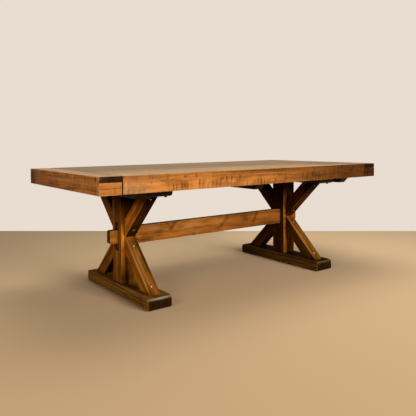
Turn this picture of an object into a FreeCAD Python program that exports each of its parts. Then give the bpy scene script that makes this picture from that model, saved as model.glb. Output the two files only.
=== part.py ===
import FreeCAD, Part
import math
import os

# Trestle dining table with crossed sawbuck braces and breadboard ends that pull out for leaves.
# Millimetres. The origin is on the floor under the middle of the top.
# +X runs along the table, +Y towards its back, +Z up. "Left" is -X and "front" is -Y.

# ---- driving dimensions ----
TABLE_LENGTH = 2184.0
TABLE_WIDTH = 1067.0
TABLE_HEIGHT = 762.0
TOP_DEPTH = 95.0            # planks and skirt together
PLANK_THICKNESS = 32.0
PLANK_COUNT = 6
SKIRT_THICKNESS = 38.0
END_WIDTH = 122.0           # each breadboard end, along X
LEFT_SLOT = 7.0             # the left end stands this far open at rest
RIGHT_SLOT = 0.5            # the right end is shut
END_TRAVEL = 406.0          # room for one leaf of 16 inches at each end

TRESTLE_X = 684.0           # each trestle's middle, from the table's middle
FOOT_LENGTH = 820.0
FOOT_WIDTH = 153.0
FOOT_TOP = 71.0
FOOT_PAD = 145.0            # length of each bearing pad at the ends of a foot
FOOT_RELIEF = 6.0
GLIDE_THICKNESS = 3.0
GLIDE_RADIUS = 19.0

POST_SIDE = 117.0
STUB_SIDE = 50.0            # stub tenons at both ends of a post
STUB_FOOT = 35.0
STUB_PLATE = 20.0

PLATE_LENGTH = 858.0
PLATE_WIDTH = 153.0
PLATE_THICKNESS = 40.0

BRACE_DEPTH = 81.0          # across the brace, in the trestle's plane
BRACE_THICKNESS = 70.0
LOWER_BRACE_RUN = 1.03      # how far a brace runs outwards for each millimetre of height
UPPER_BRACE_RUN = 1.045
WAIST_HEIGHT = 356.0        # where the upper and lower braces meet
WAIST_HALF = 64.0           # half width of the trestle at its waist

STRETCHER_HEIGHT = 109.0
STRETCHER_THICKNESS = 48.0
STRETCHER_MIDDLE = 355.0
TENON_HEIGHT = 82.0
TENON_THICKNESS = 44.0
TENON_PROUD = 55.0
WEDGE_SLOT_HEIGHT = 171.0   # the flared mortise, at the post's outer face
WEDGE_WIDTH = 26.0          # narrower than its slot, so a dark gap shows at each side
WEDGE_TIP_SETBACK = 8.0
WEDGE_PROUD = 3.0

BATTEN_WIDTH = 62.0
BATTEN_THICKNESS = 38.0
BATTEN_X = (-825.0, 10.0, 825.0)
BATTEN_HALF_BOTTOM = 447.0
BATTEN_HALF_TOP = 478.0

RAIL_WIDTH = 50.0
RAIL_Y = 329.0              # middle of each slide rail
RAIL_GAP = 1.0              # running clearance round a rail
RAIL_INNER_END = 40.0
GUIDE_INNER_WIDTH = 40.0
GUIDE_OUTER_WIDTH = 60.0
GUIDE_SETBACK = 8.0
STOP_LENGTH = 30.0
STOP_HEIGHT = 20.0
STOP_WIDTH = 44.0
RAIL_SCREW_INSET = 18.0     # from the skirt and from the inner edge of an end

SCREW_HEAD_RADIUS = 7.5
SCREW_HEAD_HEIGHT = 4.0
SCREW_RADIUS = 3.5
SCREW_LONG = 110.0
SCREW_SHORT = 80.0
COUNTERBORE_RADIUS = 9.5
COUNTERBORE_DEPTH = 7.0
WAIST_SCREW_DROP = 45.0     # height of each brace screw above or below the waist
OUTER_SCREW_DROP = 245.0
SCREW_SOCKET_RADIUS = 2.8
SCREW_SOCKET_DEPTH = 2.5
SCREW_HEAD_ROUND = 1.2
SCREW_TIP_RADIUS = 0.5
STRETCHER_SCREW_INSET = 10.0   # from the post's inner face
STRETCHER_SCREW_SPREAD = 22.0  # above and below the stretcher's middle
STRETCHER_SCREW_HEAD = 4.5
STRETCHER_SCREW_LENGTH = 62.0
STRETCHER_BORE_DEPTH = 5.0

LAG_RADIUS = 4.0
LAG_LENGTH = 85.0
LAG_HEAD_FLATS = 13.0
LAG_HEAD_HEIGHT = 6.0
FLANGE_RADIUS = 11.0
FLANGE_THICKNESS = 2.0
LAG_X = 56.0

BATTEN_SCREW_RADIUS = 2.5
BATTEN_SCREW_HEAD = 5.0
BATTEN_SCREW_LENGTH = 75.0

TIE_RADIUS = 5.0
TIE_HEAD_FLATS = 17.0
TIE_HEAD_HEIGHT = 6.5
TIE_HEAD_SINK = 2.0         # below the top of the plate
TIE_OFFSET = 15.0           # the tie bolt stands this far behind the post's middle
TIE_RECESS_RADIUS = 13.6    # room for a socket round a bolt head
TIE_POCKET_HEIGHT = 572.0   # axis of the round pocket where the tie bolt gets its nut
TIE_POCKET_RADIUS = 19.0
TIE_POCKET_DEPTH = 76.0     # from the post's inner face
TIE_WASHER_RADIUS = 12.0
TIE_WASHER_THICKNESS = 2.5
TIE_NUT_HEIGHT = 8.0
TIE_BOLT_TAIL = 5.0         # thread that shows under the nut
FOOT_BOLT_LENGTH = 126.0
FOOT_BOLT_SINK = 14.0       # bearing of the foot bolt's head, above the foot's relief

PIN_RADIUS = 5.0
PIN_LENGTH = 44.0
PIN_CLEARANCE = 0.6
PIN_BORE_SPARE = 10.0
PIN_TIP_BEVEL = 1.5
PIN_PLANKS = (-2.5, -0.5, 0.5, 2.5)   # the planks that a pin enters, counted from the middle

EASE = 2.0                  # arris taken off the long edges
FINE_EASE = 1.0             # on the boards of the top
FOOT_END_RADIUS = 22.0
FOOT_HEEL_RADIUS = 8.0
PLATE_END_RADIUS = 28.0
TENON_END_RADIUS = 12.0
BORE_CLEARANCE = 0.25       # round lag shanks in the plates
BITE_CLEARANCE = 0.05       # between a thread and the wood or steel that it bites

# ---- derived places ----
HALF_LENGTH = TABLE_LENGTH / 2
HALF_WIDTH = TABLE_WIDTH / 2
DECK_BOTTOM = TABLE_HEIGHT - PLANK_THICKNESS
SKIRT_BOTTOM = TABLE_HEIGHT - TOP_DEPTH
SKIRT_MIDDLE = (DECK_BOTTOM + SKIRT_BOTTOM) / 2
SKIRT_INNER = HALF_WIDTH - SKIRT_THICKNESS
END_INNER = HALF_LENGTH - END_WIDTH
MAIN_LEFT = -END_INNER + LEFT_SLOT
MAIN_RIGHT = END_INNER - RIGHT_SLOT
PLANK_WIDTH = TABLE_WIDTH / PLANK_COUNT
PLATE_BOTTOM = SKIRT_BOTTOM - PLATE_THICKNESS
POST_HALF = POST_SIDE / 2
POST_OUTER = -TRESTLE_X - POST_HALF
POST_INNER = -TRESTLE_X + POST_HALF
TIE_SEAT = TIE_POCKET_HEIGHT + math.sqrt(TIE_POCKET_RADIUS ** 2 - TIE_WASHER_RADIUS ** 2)
GUIDE_INNER_EDGE = RAIL_Y - RAIL_WIDTH / 2 - RAIL_GAP
GUIDE_OUTER_EDGE = RAIL_Y + RAIL_WIDTH / 2 + RAIL_GAP
GUIDE_INNER_Y = GUIDE_INNER_EDGE - GUIDE_INNER_WIDTH / 2
GUIDE_OUTER_Y = GUIDE_OUTER_EDGE + GUIDE_OUTER_WIDTH / 2
X_AXIS = FreeCAD.Vector(1, 0, 0)
Y_AXIS = FreeCAD.Vector(0, 1, 0)
Z_AXIS = FreeCAD.Vector(0, 0, 1)
ORIGIN = FreeCAD.Vector(0, 0, 0)
SLACK = 5.0                 # how far a cutter runs past the face it opens


# ---- small tools ----
def box(x0, x1, y0, y1, z0, z1):
    """Plain block between two corners."""
    return Part.makeBox(x1 - x0, y1 - y0, z1 - z0, FreeCAD.Vector(x0, y0, z0))


def prism_x(points_yz, x0, x1):
    """Outline in the Y-Z plane, given thickness along X."""
    corners = [FreeCAD.Vector(x0, y, z) for y, z in points_yz]
    face = Part.Face(Part.makePolygon(corners + corners[:1]))
    return face.extrude(X_AXIS * (x1 - x0))


def prism_y(points_xz, y0, y1):
    """Outline in the X-Z plane, given thickness along Y."""
    corners = [FreeCAD.Vector(x, y0, z) for x, z in points_xz]
    face = Part.Face(Part.makePolygon(corners + corners[:1]))
    return face.extrude(Y_AXIS * (y1 - y0))


def prism_z(points_xy, z0, z1):
    """Outline in the X-Y plane, given height along Z."""
    corners = [FreeCAD.Vector(x, y, z0) for x, y in points_xy]
    face = Part.Face(Part.makePolygon(corners + corners[:1]))
    return face.extrude(Z_AXIS * (z1 - z0))


def rod(start, direction, radius, length):
    """Round bar from a start point along a direction."""
    return Part.makeCylinder(radius, length, start, direction)


def edges_along(solid, direction, keep=lambda middle: True):
    """Straight edges of a solid that run along a direction and pass a test on their middle."""
    found = []
    for edge in solid.Edges:
        start, end = edge.firstVertex().Point, edge.lastVertex().Point
        run = end - start
        if run.Length < 1e-6 or abs(run.cross(direction).Length) > 1e-6 * run.Length:
            continue
        if keep((start + end) * 0.5):
            found.append(edge)
    return found


def ease(solid, direction, size=EASE, keep=lambda middle: True):
    """Take the arris off the edges that run along a direction."""
    return solid.makeChamfer(size, edges_along(solid, direction, keep))


def hexagon(centre, flats, height):
    """Upright hexagonal prism standing on its centre point."""
    reach = flats / math.sqrt(3)
    turns = [math.radians(60 * step) for step in range(6)]
    points = [(centre.x + reach * math.cos(turn), centre.y + reach * math.sin(turn)) for turn in turns]
    return prism_z(points, centre.z, centre.z + height)


def mirrored_x(solid):
    """The same piece at the other end of the table."""
    return solid.mirror(ORIGIN, X_AXIS)


def cut_all(solid, cutters):
    """Solid with every cutter taken out of it."""
    return solid.cut(cutters) if cutters else solid


def save(node, *solids):
    """Write one node, as a single solid or as a group of separate solids."""
    shape = solids[0] if len(solids) == 1 else Part.makeCompound(list(solids))
    for solid in shape.Solids:
        assert solid.isValid() and solid.Volume > 0, node
    shape.exportStep(os.path.join("parts", node + ".step"))


def save_both_ends(node, *left_solids):
    """Write a left node and its mirrored right node."""
    save("left_" + node, *left_solids)
    save("right_" + node, *[mirrored_x(solid) for solid in left_solids])


# ---- fasteners ----
def brace_screw(seat, inward, length):
    """Washer-head structural screw whose head rests on the seat point and whose shank runs inward."""
    head = rod(seat, inward * -1, SCREW_HEAD_RADIUS, SCREW_HEAD_HEIGHT)
    head = head.makeFillet(SCREW_HEAD_ROUND, [outer_rim(head, seat)])
    socket = rod(seat - inward * SCREW_HEAD_HEIGHT, inward, SCREW_SOCKET_RADIUS, SCREW_SOCKET_DEPTH)
    shank = rod(seat, inward, SCREW_RADIUS, length - 2 * SCREW_RADIUS)
    tip_seat = seat + inward * (length - 2 * SCREW_RADIUS)
    tip = Part.makeCone(SCREW_RADIUS, SCREW_TIP_RADIUS, 2 * SCREW_RADIUS, tip_seat, inward)
    return head.fuse([shank, tip]).removeSplitter().cut(socket)


def outer_rim(head, seat):
    """The head's round edge that lies furthest from its seat."""
    rims = [edge for edge in head.Edges if edge.Closed]
    return max(rims, key=lambda edge: (edge.CenterOfMass - seat).Length)


def brace_run(level):
    """How far the braces of one level, -1 lower or +1 upper, run outwards for their height."""
    return LOWER_BRACE_RUN if level < 0 else UPPER_BRACE_RUN


def brace_screw_seats():
    """Seat, inward direction and length of each screw of the left trestle."""
    seats = []
    for side in (-1, 1):
        for level in (-1, 1):
            run = brace_run(level)
            inward = FreeCAD.Vector(0, -side, level * run).normalize()
            for drop in (WAIST_SCREW_DROP, OUTER_SCREW_DROP):
                surface = FreeCAD.Vector(
                    -TRESTLE_X, side * (WAIST_HALF + run * drop), WAIST_HEIGHT + level * drop
                )
                short = level > 0 and drop == OUTER_SCREW_DROP
                length = SCREW_SHORT if short else SCREW_LONG
                seats.append((surface + inward * COUNTERBORE_DEPTH, inward, length))
    return seats


def brace_screw_bores():
    """Cutters for the screws of the left trestle: counterbore, and a hole as wide as the shank."""
    cutters = []
    for seat, inward, length in brace_screw_seats():
        mouth = seat - inward * (COUNTERBORE_DEPTH + SLACK)
        cutters.append(rod(mouth, inward, COUNTERBORE_RADIUS, COUNTERBORE_DEPTH + SLACK))
        cutters.append(rod(seat, inward, SCREW_RADIUS + BITE_CLEARANCE, length))
    return cutters


def stretcher_screw_seats():
    """Bearing points of the two screws that pin the left tenon, sunk in the post's front face."""
    x = POST_INNER - STRETCHER_SCREW_INSET
    y = -POST_HALF + STRETCHER_BORE_DEPTH
    return [
        FreeCAD.Vector(x, y, STRETCHER_MIDDLE + level * STRETCHER_SCREW_SPREAD) for level in (-1, 1)
    ]


def stretcher_screw(seat):
    """Pan-head screw driven through the post into the stretcher's tenon."""
    head = rod(seat - Y_AXIS * SCREW_HEAD_HEIGHT, Y_AXIS, STRETCHER_SCREW_HEAD, SCREW_HEAD_HEIGHT)
    head = head.makeFillet(SCREW_HEAD_ROUND, [outer_rim(head, seat)])
    shank = rod(seat, Y_AXIS, BATTEN_SCREW_RADIUS, STRETCHER_SCREW_LENGTH)
    return head.fuse(shank).removeSplitter()


def stretcher_screw_bores():
    """Cutters for the screws that pin the left tenon."""
    cutters = []
    for seat in stretcher_screw_seats():
        depth = STRETCHER_BORE_DEPTH + SLACK
        cutters.append(rod(seat - Y_AXIS * depth, Y_AXIS, STRETCHER_SCREW_HEAD + 1, depth))
        cutters.append(rod(seat, Y_AXIS, BATTEN_SCREW_RADIUS + BITE_CLEARANCE, STRETCHER_SCREW_LENGTH))
    return cutters


def lag_places():
    """Foot points of the lag screws under the left top plate."""
    places = []
    for x in (-TRESTLE_X - LAG_X, -TRESTLE_X + LAG_X):
        for y in (GUIDE_INNER_Y, GUIDE_OUTER_Y):
            places.append(FreeCAD.Vector(x, -y, PLATE_BOTTOM))
            places.append(FreeCAD.Vector(x, y, PLATE_BOTTOM))
    return places


def lag_screw(place):
    """Flanged hexagon-head lag screw, driven up from under a plate."""
    flange = rod(place - Z_AXIS * FLANGE_THICKNESS, Z_AXIS, FLANGE_RADIUS, FLANGE_THICKNESS)
    head_seat = place - Z_AXIS * (FLANGE_THICKNESS + LAG_HEAD_HEIGHT)
    head = hexagon(head_seat, LAG_HEAD_FLATS, LAG_HEAD_HEIGHT)
    shank = rod(place, Z_AXIS, LAG_RADIUS, LAG_LENGTH - LAG_RADIUS)
    tip_seat = place + Z_AXIS * (LAG_LENGTH - LAG_RADIUS)
    tip = Part.makeCone(LAG_RADIUS, SCREW_TIP_RADIUS, LAG_RADIUS, tip_seat, Z_AXIS)
    return flange.fuse([head, shank, tip]).removeSplitter()


def lag_bores(clearance):
    """Cutters for the lag screws of the left plate."""
    return [
        rod(place - Z_AXIS * SLACK, Z_AXIS, LAG_RADIUS + clearance, LAG_LENGTH + SLACK)
        for place in lag_places()
    ]


def batten_screw_places(x):
    """Foot points of the four screws under one batten."""
    bottom = SKIRT_BOTTOM - BATTEN_THICKNESS
    return [
        FreeCAD.Vector(x, side * y, bottom)
        for side in (-1, 1)
        for y in (GUIDE_INNER_Y, GUIDE_OUTER_Y)
    ]


def batten_screw(place, growth=0.0):
    """Countersunk screw driven up from under a batten; growth makes it the cutter for its own hole."""
    head = Part.makeCone(
        BATTEN_SCREW_HEAD + growth, BATTEN_SCREW_RADIUS + growth, BATTEN_SCREW_HEAD / 2, place, Z_AXIS
    )
    shank = rod(place, Z_AXIS, BATTEN_SCREW_RADIUS + growth, BATTEN_SCREW_LENGTH)
    return head.fuse(shank).removeSplitter()


# ---- left trestle ----
def foot():
    """Floor beam with two bearing pads, eased ends and a stub mortise for the post."""
    half = FOOT_LENGTH / 2
    x0, x1 = -TRESTLE_X - FOOT_WIDTH / 2, -TRESTLE_X + FOOT_WIDTH / 2
    beam = box(x0, x1, -half, half, GLIDE_THICKNESS, FOOT_TOP)
    tops = edges_along(beam, X_AXIS, lambda middle: middle.z > FOOT_TOP - 1)
    beam = beam.makeFillet(FOOT_END_RADIUS, tops)
    heels = edges_along(beam, X_AXIS, lambda middle: middle.z < GLIDE_THICKNESS + 1)
    beam = beam.makeFillet(FOOT_HEEL_RADIUS, heels)
    run = half - FOOT_PAD
    relief_top = GLIDE_THICKNESS + FOOT_RELIEF
    relief = prism_x(
        [
            (-run - SLACK, GLIDE_THICKNESS - SLACK),
            (-run + FOOT_RELIEF, relief_top),
            (run - FOOT_RELIEF, relief_top),
            (run + SLACK, GLIDE_THICKNESS - SLACK),
        ],
        x0 - SLACK,
        x1 + SLACK,
    )
    beam = beam.cut(relief)
    beam = ease(beam, Y_AXIS, EASE, lambda middle: middle.z > FOOT_TOP - 1)
    stub = STUB_SIDE / 2
    mortise = box(
        -TRESTLE_X - stub, -TRESTLE_X + stub, -stub, stub, FOOT_TOP - STUB_FOOT, FOOT_TOP + SLACK
    )
    return cut_all(beam, [mortise] + foot_bolt_bores() + brace_screw_bores())


def foot_bolt_seat():
    """Where the foot bolt's head bears, up inside its recess."""
    return FreeCAD.Vector(-TRESTLE_X, 0, GLIDE_THICKNESS + FOOT_RELIEF + FOOT_BOLT_SINK)


def foot_bolt():
    """Hexagon-head bolt from under the foot up into the post."""
    seat = foot_bolt_seat()
    head = hexagon(seat - Z_AXIS * TIE_HEAD_HEIGHT, TIE_HEAD_FLATS, TIE_HEAD_HEIGHT)
    return head.fuse(rod(seat, Z_AXIS, TIE_RADIUS, FOOT_BOLT_LENGTH)).removeSplitter()


def foot_bolt_bores():
    """Cutters for the foot bolt and its head's recess."""
    seat = foot_bolt_seat()
    return [
        rod(seat - Z_AXIS * 2 * FOOT_BOLT_SINK, Z_AXIS, TIE_RECESS_RADIUS, 2 * FOOT_BOLT_SINK),
        rod(seat, Z_AXIS, TIE_RADIUS + BITE_CLEARANCE, FOOT_BOLT_LENGTH),
    ]


def glides():
    """Round nylon glides under the pads of one foot."""
    reach = FOOT_LENGTH / 2 - FOOT_PAD / 2
    spread = FOOT_WIDTH / 2 - 2 * GLIDE_RADIUS
    return [
        rod(FreeCAD.Vector(-TRESTLE_X + x, y, 0), Z_AXIS, GLIDE_RADIUS, GLIDE_THICKNESS)
        for x in (-spread, spread)
        for y in (-reach, reach)
    ]


def tenon_wedge(level):
    """Wedge driven from outside above (+1) or below (-1) the stretcher's tenon."""
    bearing = STRETCHER_MIDDLE + level * TENON_HEIGHT / 2
    flare = level * (WEDGE_SLOT_HEIGHT - TENON_HEIGHT) / 2
    deep = POST_INNER - WEDGE_TIP_SETBACK
    slope = flare / (POST_INNER - POST_OUTER)
    outer = POST_OUTER - WEDGE_PROUD
    outline = [
        (outer, bearing),
        (outer, bearing + slope * (POST_INNER - outer)),
        (deep, bearing + slope * (POST_INNER - deep)),
        (deep, bearing),
    ]
    half = WEDGE_WIDTH / 2
    return prism_y(outline, -half, half)


def stretcher_mortise():
    """Cutter for the flared through mortise of the left post."""
    half = TENON_THICKNESS / 2
    low, high = STRETCHER_MIDDLE - TENON_HEIGHT / 2, STRETCHER_MIDDLE + TENON_HEIGHT / 2
    flare = (WEDGE_SLOT_HEIGHT - TENON_HEIGHT) / 2
    outline = [(POST_OUTER, low - flare), (POST_OUTER, high + flare), (POST_INNER, high), (POST_INNER, low)]
    straight = box(POST_OUTER - SLACK, POST_INNER + SLACK, -half, half, low, high)
    return prism_y(outline, -half, half).fuse(straight)


def tie_seat():
    """Where the tie bolt's head bears, in the recess on top of the left plate."""
    return FreeCAD.Vector(-TRESTLE_X, TIE_OFFSET, SKIRT_BOTTOM - TIE_HEAD_HEIGHT - TIE_HEAD_SINK)


def tie_washer_seat():
    """Centre of the flat at the top of the pocket, which the tie bolt's washer bears up against."""
    return FreeCAD.Vector(-TRESTLE_X, TIE_OFFSET, TIE_SEAT)


def tie_length():
    """Length of the tie bolt under its head."""
    return tie_seat().z - TIE_SEAT + TIE_WASHER_THICKNESS + TIE_NUT_HEIGHT + TIE_BOLT_TAIL


def tie_bolt():
    """Bolt that ties the top plate down to the nut in the post's pocket."""
    seat = tie_seat()
    head = hexagon(seat, TIE_HEAD_FLATS, TIE_HEAD_HEIGHT)
    shank = rod(seat - Z_AXIS * tie_length(), Z_AXIS, TIE_RADIUS, tie_length())
    return head.fuse(shank).removeSplitter()


def tie_washer():
    """Flat washer under the tie bolt's nut."""
    low = tie_washer_seat() - Z_AXIS * TIE_WASHER_THICKNESS
    disc = rod(low, Z_AXIS, TIE_WASHER_RADIUS, TIE_WASHER_THICKNESS)
    return disc.cut(rod(low, Z_AXIS, TIE_RADIUS + BITE_CLEARANCE, TIE_WASHER_THICKNESS))


def tie_nut():
    """Hexagon nut on the tie bolt."""
    low = tie_washer_seat() - Z_AXIS * (TIE_WASHER_THICKNESS + TIE_NUT_HEIGHT)
    nut = hexagon(low, TIE_HEAD_FLATS, TIE_NUT_HEIGHT)
    return nut.cut(rod(low, Z_AXIS, TIE_RADIUS + BITE_CLEARANCE, TIE_NUT_HEIGHT))


def tie_bores():
    """Cutters for the tie bolt, its head's recess and the pocket for its nut."""
    seat = tie_seat()
    mouth = FreeCAD.Vector(POST_INNER - TIE_POCKET_DEPTH, TIE_OFFSET, TIE_POCKET_HEIGHT)
    reach = TIE_POCKET_DEPTH + SLACK
    pocket = rod(mouth, X_AXIS, TIE_POCKET_RADIUS, reach)
    near, far = TIE_OFFSET - TIE_POCKET_RADIUS, TIE_OFFSET + TIE_POCKET_RADIUS
    roof = box(POST_OUTER, POST_INNER + 2 * SLACK, near, far, TIE_SEAT, TIE_SEAT + TIE_POCKET_RADIUS)
    return [
        rod(seat, Z_AXIS, TIE_RECESS_RADIUS, TIE_HEAD_HEIGHT + SLACK),
        rod(seat - Z_AXIS * tie_length(), Z_AXIS, TIE_RADIUS + BITE_CLEARANCE, tie_length() + SLACK),
        pocket.cut(roof),
    ]


def post():
    """Square post with stub tenons top and bottom, mortised for the stretcher."""
    x0, x1 = POST_OUTER, POST_INNER
    shaft = ease(box(x0, x1, -POST_HALF, POST_HALF, FOOT_TOP, PLATE_BOTTOM), Z_AXIS)
    stub = STUB_SIDE / 2
    stubs = box(
        -TRESTLE_X - stub, -TRESTLE_X + stub, -stub, stub, FOOT_TOP - STUB_FOOT, PLATE_BOTTOM + STUB_PLATE
    )
    solid = shaft.fuse(stubs).removeSplitter()
    cutters = [stretcher_mortise()] + tie_bores() + foot_bolt_bores() + brace_screw_bores()
    return cut_all(solid, cutters + stretcher_screw_bores())


def plate():
    """Cross member on top of the post, which carries the table top."""
    half = PLATE_LENGTH / 2
    x0, x1 = -TRESTLE_X - PLATE_WIDTH / 2, -TRESTLE_X + PLATE_WIDTH / 2
    board = box(x0, x1, -half, half, PLATE_BOTTOM, SKIRT_BOTTOM)
    lower_ends = edges_along(board, X_AXIS, lambda middle: middle.z < PLATE_BOTTOM + 1)
    board = board.makeFillet(PLATE_END_RADIUS, lower_ends)
    stub = STUB_SIDE / 2
    mortise = box(
        -TRESTLE_X - stub, -TRESTLE_X + stub, -stub, stub, PLATE_BOTTOM - SLACK, PLATE_BOTTOM + STUB_PLATE
    )
    return cut_all(board, [mortise] + tie_bores() + lag_bores(BORE_CLEARANCE) + brace_screw_bores())


def brace(side, level):
    """One of the four braces: side is -1 front or +1 back, level is -1 lower or +1 upper."""
    run = brace_run(level)
    bearing = FOOT_TOP if level < 0 else PLATE_BOTTOM
    reach = WAIST_HALF + run * abs(bearing - WAIST_HEIGHT)
    across = BRACE_DEPTH * math.hypot(1, run)
    flat_on_post = (across - (WAIST_HALF - POST_HALF)) / run
    outline = [
        (side * POST_HALF, WAIST_HEIGHT + level * flat_on_post),
        (side * POST_HALF, WAIST_HEIGHT),
        (side * WAIST_HALF, WAIST_HEIGHT),
        (side * reach, bearing),
        (side * (reach - across), bearing),
    ]
    x0, x1 = -TRESTLE_X - BRACE_THICKNESS / 2, -TRESTLE_X + BRACE_THICKNESS / 2
    solid = prism_x(outline, x0, x1)
    slope = FreeCAD.Vector(0, side * run, level)
    return cut_all(ease(solid, slope), brace_screw_bores())


def make_trestles():
    """Both trestles; every right-hand piece mirrors its left-hand one."""
    save_both_ends("foot", foot())
    save_both_ends("post", post())
    save_both_ends("top_plate", plate())
    for side, side_name in ((-1, "front"), (1, "back")):
        for level, level_name in ((-1, "lower"), (1, "upper")):
            save_both_ends(f"{level_name}_{side_name}_brace", brace(side, level))
    screws = [brace_screw(seat, inward, length) for seat, inward, length in brace_screw_seats()]
    save_both_ends("brace_screws", *screws)
    both = (lambda solid: solid), mirrored_x
    save("foot_glides", *[place(glide) for place in both for glide in glides()])
    save("tenon_wedges", *[place(tenon_wedge(level)) for place in both for level in (-1, 1)])
    save("frame_bolts", *[place(bolt()) for place in both for bolt in (tie_bolt, foot_bolt)])
    save("tie_nuts", *[place(tie_nut()) for place in both])
    save("tie_washers", *[place(tie_washer()) for place in both])
    seats = stretcher_screw_seats()
    save("stretcher_screws", *[place(stretcher_screw(seat)) for place in both for seat in seats])
    save("plate_lag_screws", *[place(lag_screw(spot)) for place in both for spot in lag_places()])


# ---- stretcher and top ----
def stretcher():
    """Long rail between the trestles, with a through tenon at each end."""
    low = STRETCHER_MIDDLE - STRETCHER_HEIGHT / 2
    half = STRETCHER_THICKNESS / 2
    board = box(POST_INNER, -POST_INNER, -half, half, low, low + STRETCHER_HEIGHT)
    board = ease(board, X_AXIS)
    reach = -POST_OUTER + TENON_PROUD
    tenon_half = TENON_THICKNESS / 2
    tenon_low = STRETCHER_MIDDLE - TENON_HEIGHT / 2
    tenon = box(-reach, reach, -tenon_half, tenon_half, tenon_low, tenon_low + TENON_HEIGHT)
    tenon = tenon.makeFillet(TENON_END_RADIUS, edges_along(tenon, Y_AXIS))
    bores = stretcher_screw_bores()
    bores += [mirrored_x(bore) for bore in bores]
    return cut_all(board.fuse(tenon).removeSplitter(), bores)


def pin_places():
    """Y of each alignment pin."""
    return [PLANK_WIDTH * count for count in PIN_PLANKS]


def pin_bore(y, radius, x0, x1):
    """Round cutter along X at a pin's height."""
    start = FreeCAD.Vector(x0, y, DECK_BOTTOM + PLANK_THICKNESS / 2)
    return rod(start, X_AXIS, radius, x1 - x0)


def deck_plank(index):
    """One lengthwise plank of the deck, counted from the front."""
    y0 = -HALF_WIDTH + index * PLANK_WIDTH
    plank = box(MAIN_LEFT, MAIN_RIGHT, y0, y0 + PLANK_WIDTH, DECK_BOTTOM, TABLE_HEIGHT)
    plank = ease(plank, X_AXIS, FINE_EASE, lambda middle: middle.z > TABLE_HEIGHT - 1)
    deep = END_INNER - PIN_LENGTH / 2 - PIN_BORE_SPARE
    bores = []
    for y in pin_places():
        if y0 < y < y0 + PLANK_WIDTH:
            radius = PIN_RADIUS + PIN_CLEARANCE
            bores.append(pin_bore(y, radius, MAIN_LEFT - SLACK, -deep))
            bores.append(pin_bore(y, radius, deep, MAIN_RIGHT + SLACK))
    return cut_all(plank, bores)


def skirt_layer(side, low, high):
    """One of the two boards glued under the deck's long edge."""
    y0, y1 = sorted((side * SKIRT_INNER, side * HALF_WIDTH))
    layer = box(MAIN_LEFT, MAIN_RIGHT, y0, y1, low, high)

    def outer_lower(middle):
        return middle.z < high - 1 and abs(middle.y) > SKIRT_INNER + 1

    return ease(layer, X_AXIS, FINE_EASE, outer_lower)


def guide(side, middle, width):
    """Lengthwise strip that carries the deck and guides a slide rail."""
    strip = box(
        MAIN_LEFT + GUIDE_SETBACK,
        MAIN_RIGHT - GUIDE_SETBACK,
        side * middle - width / 2,
        side * middle + width / 2,
        SKIRT_BOTTOM,
        DECK_BOTTOM,
    )
    cutters = lag_bores(BITE_CLEARANCE)
    cutters += [mirrored_x(cutter) for cutter in cutters]
    for x in BATTEN_X:
        cutters += [batten_screw(place, BITE_CLEARANCE) for place in batten_screw_places(x)]
    return cut_all(strip, cutters)


def batten(x):
    """Cross batten under the guides, with bevelled ends."""
    low = SKIRT_BOTTOM - BATTEN_THICKNESS
    bevel = BATTEN_HALF_TOP - BATTEN_HALF_BOTTOM
    outline = [
        (-BATTEN_HALF_BOTTOM, low),
        (BATTEN_HALF_BOTTOM, low),
        (BATTEN_HALF_TOP, low + bevel),
        (BATTEN_HALF_TOP, SKIRT_BOTTOM),
        (-BATTEN_HALF_TOP, SKIRT_BOTTOM),
        (-BATTEN_HALF_TOP, low + bevel),
    ]
    board = prism_x(outline, x - BATTEN_WIDTH / 2, x + BATTEN_WIDTH / 2)
    return cut_all(board, [batten_screw(place, BITE_CLEARANCE) for place in batten_screw_places(x)])


def make_top():
    """Fixed middle of the top, with what it is built on."""
    save("stretcher", stretcher())
    for index in range(PLANK_COUNT):
        save(f"deck_plank_{index + 1}", deck_plank(index))
    for side, side_name in ((-1, "front"), (1, "back")):
        save(f"{side_name}_skirt_upper", skirt_layer(side, SKIRT_MIDDLE, DECK_BOTTOM))
        save(f"{side_name}_skirt_lower", skirt_layer(side, SKIRT_BOTTOM, SKIRT_MIDDLE))
        save(f"{side_name}_inner_guide", guide(side, GUIDE_INNER_Y, GUIDE_INNER_WIDTH))
        save(f"{side_name}_outer_guide", guide(side, GUIDE_OUTER_Y, GUIDE_OUTER_WIDTH))
    for x, name in zip(BATTEN_X, ("left", "middle", "right")):
        save(f"{name}_batten", batten(x))
    screws = [batten_screw(place) for x in BATTEN_X for place in batten_screw_places(x)]
    save("batten_screws", *screws)


# ---- left pull-out end ----
def rail_screw_places(side):
    """Foot points of the two screws that hold a rail to the end plank."""
    bottom = SKIRT_BOTTOM + RAIL_GAP
    return [
        FreeCAD.Vector(-HALF_LENGTH + reach, side * RAIL_Y, bottom)
        for reach in (SKIRT_THICKNESS + RAIL_SCREW_INSET, END_WIDTH - RAIL_SCREW_INSET)
    ]


def end_plank():
    """Breadboard plank across the end of the table, bored for its alignment pins."""
    plank = box(-HALF_LENGTH, -END_INNER, -HALF_WIDTH, HALF_WIDTH, DECK_BOTTOM, TABLE_HEIGHT)
    plank = ease(plank, Y_AXIS, FINE_EASE, lambda middle: middle.z > TABLE_HEIGHT - 1)
    bores = [
        pin_bore(y, PIN_RADIUS, -END_INNER - PIN_LENGTH / 2, -END_INNER + SLACK) for y in pin_places()
    ]
    for side in (-1, 1):
        bores += [batten_screw(place, BITE_CLEARANCE) for place in rail_screw_places(side)]
    return cut_all(plank, bores)


def end_skirt():
    """Board under the outer edge of the end plank, mitred at both corners."""
    outline = [
        (-HALF_LENGTH, -HALF_WIDTH),
        (-HALF_LENGTH + SKIRT_THICKNESS, -SKIRT_INNER),
        (-HALF_LENGTH + SKIRT_THICKNESS, SKIRT_INNER),
        (-HALF_LENGTH, HALF_WIDTH),
    ]
    return prism_z(outline, SKIRT_BOTTOM, DECK_BOTTOM)


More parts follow.
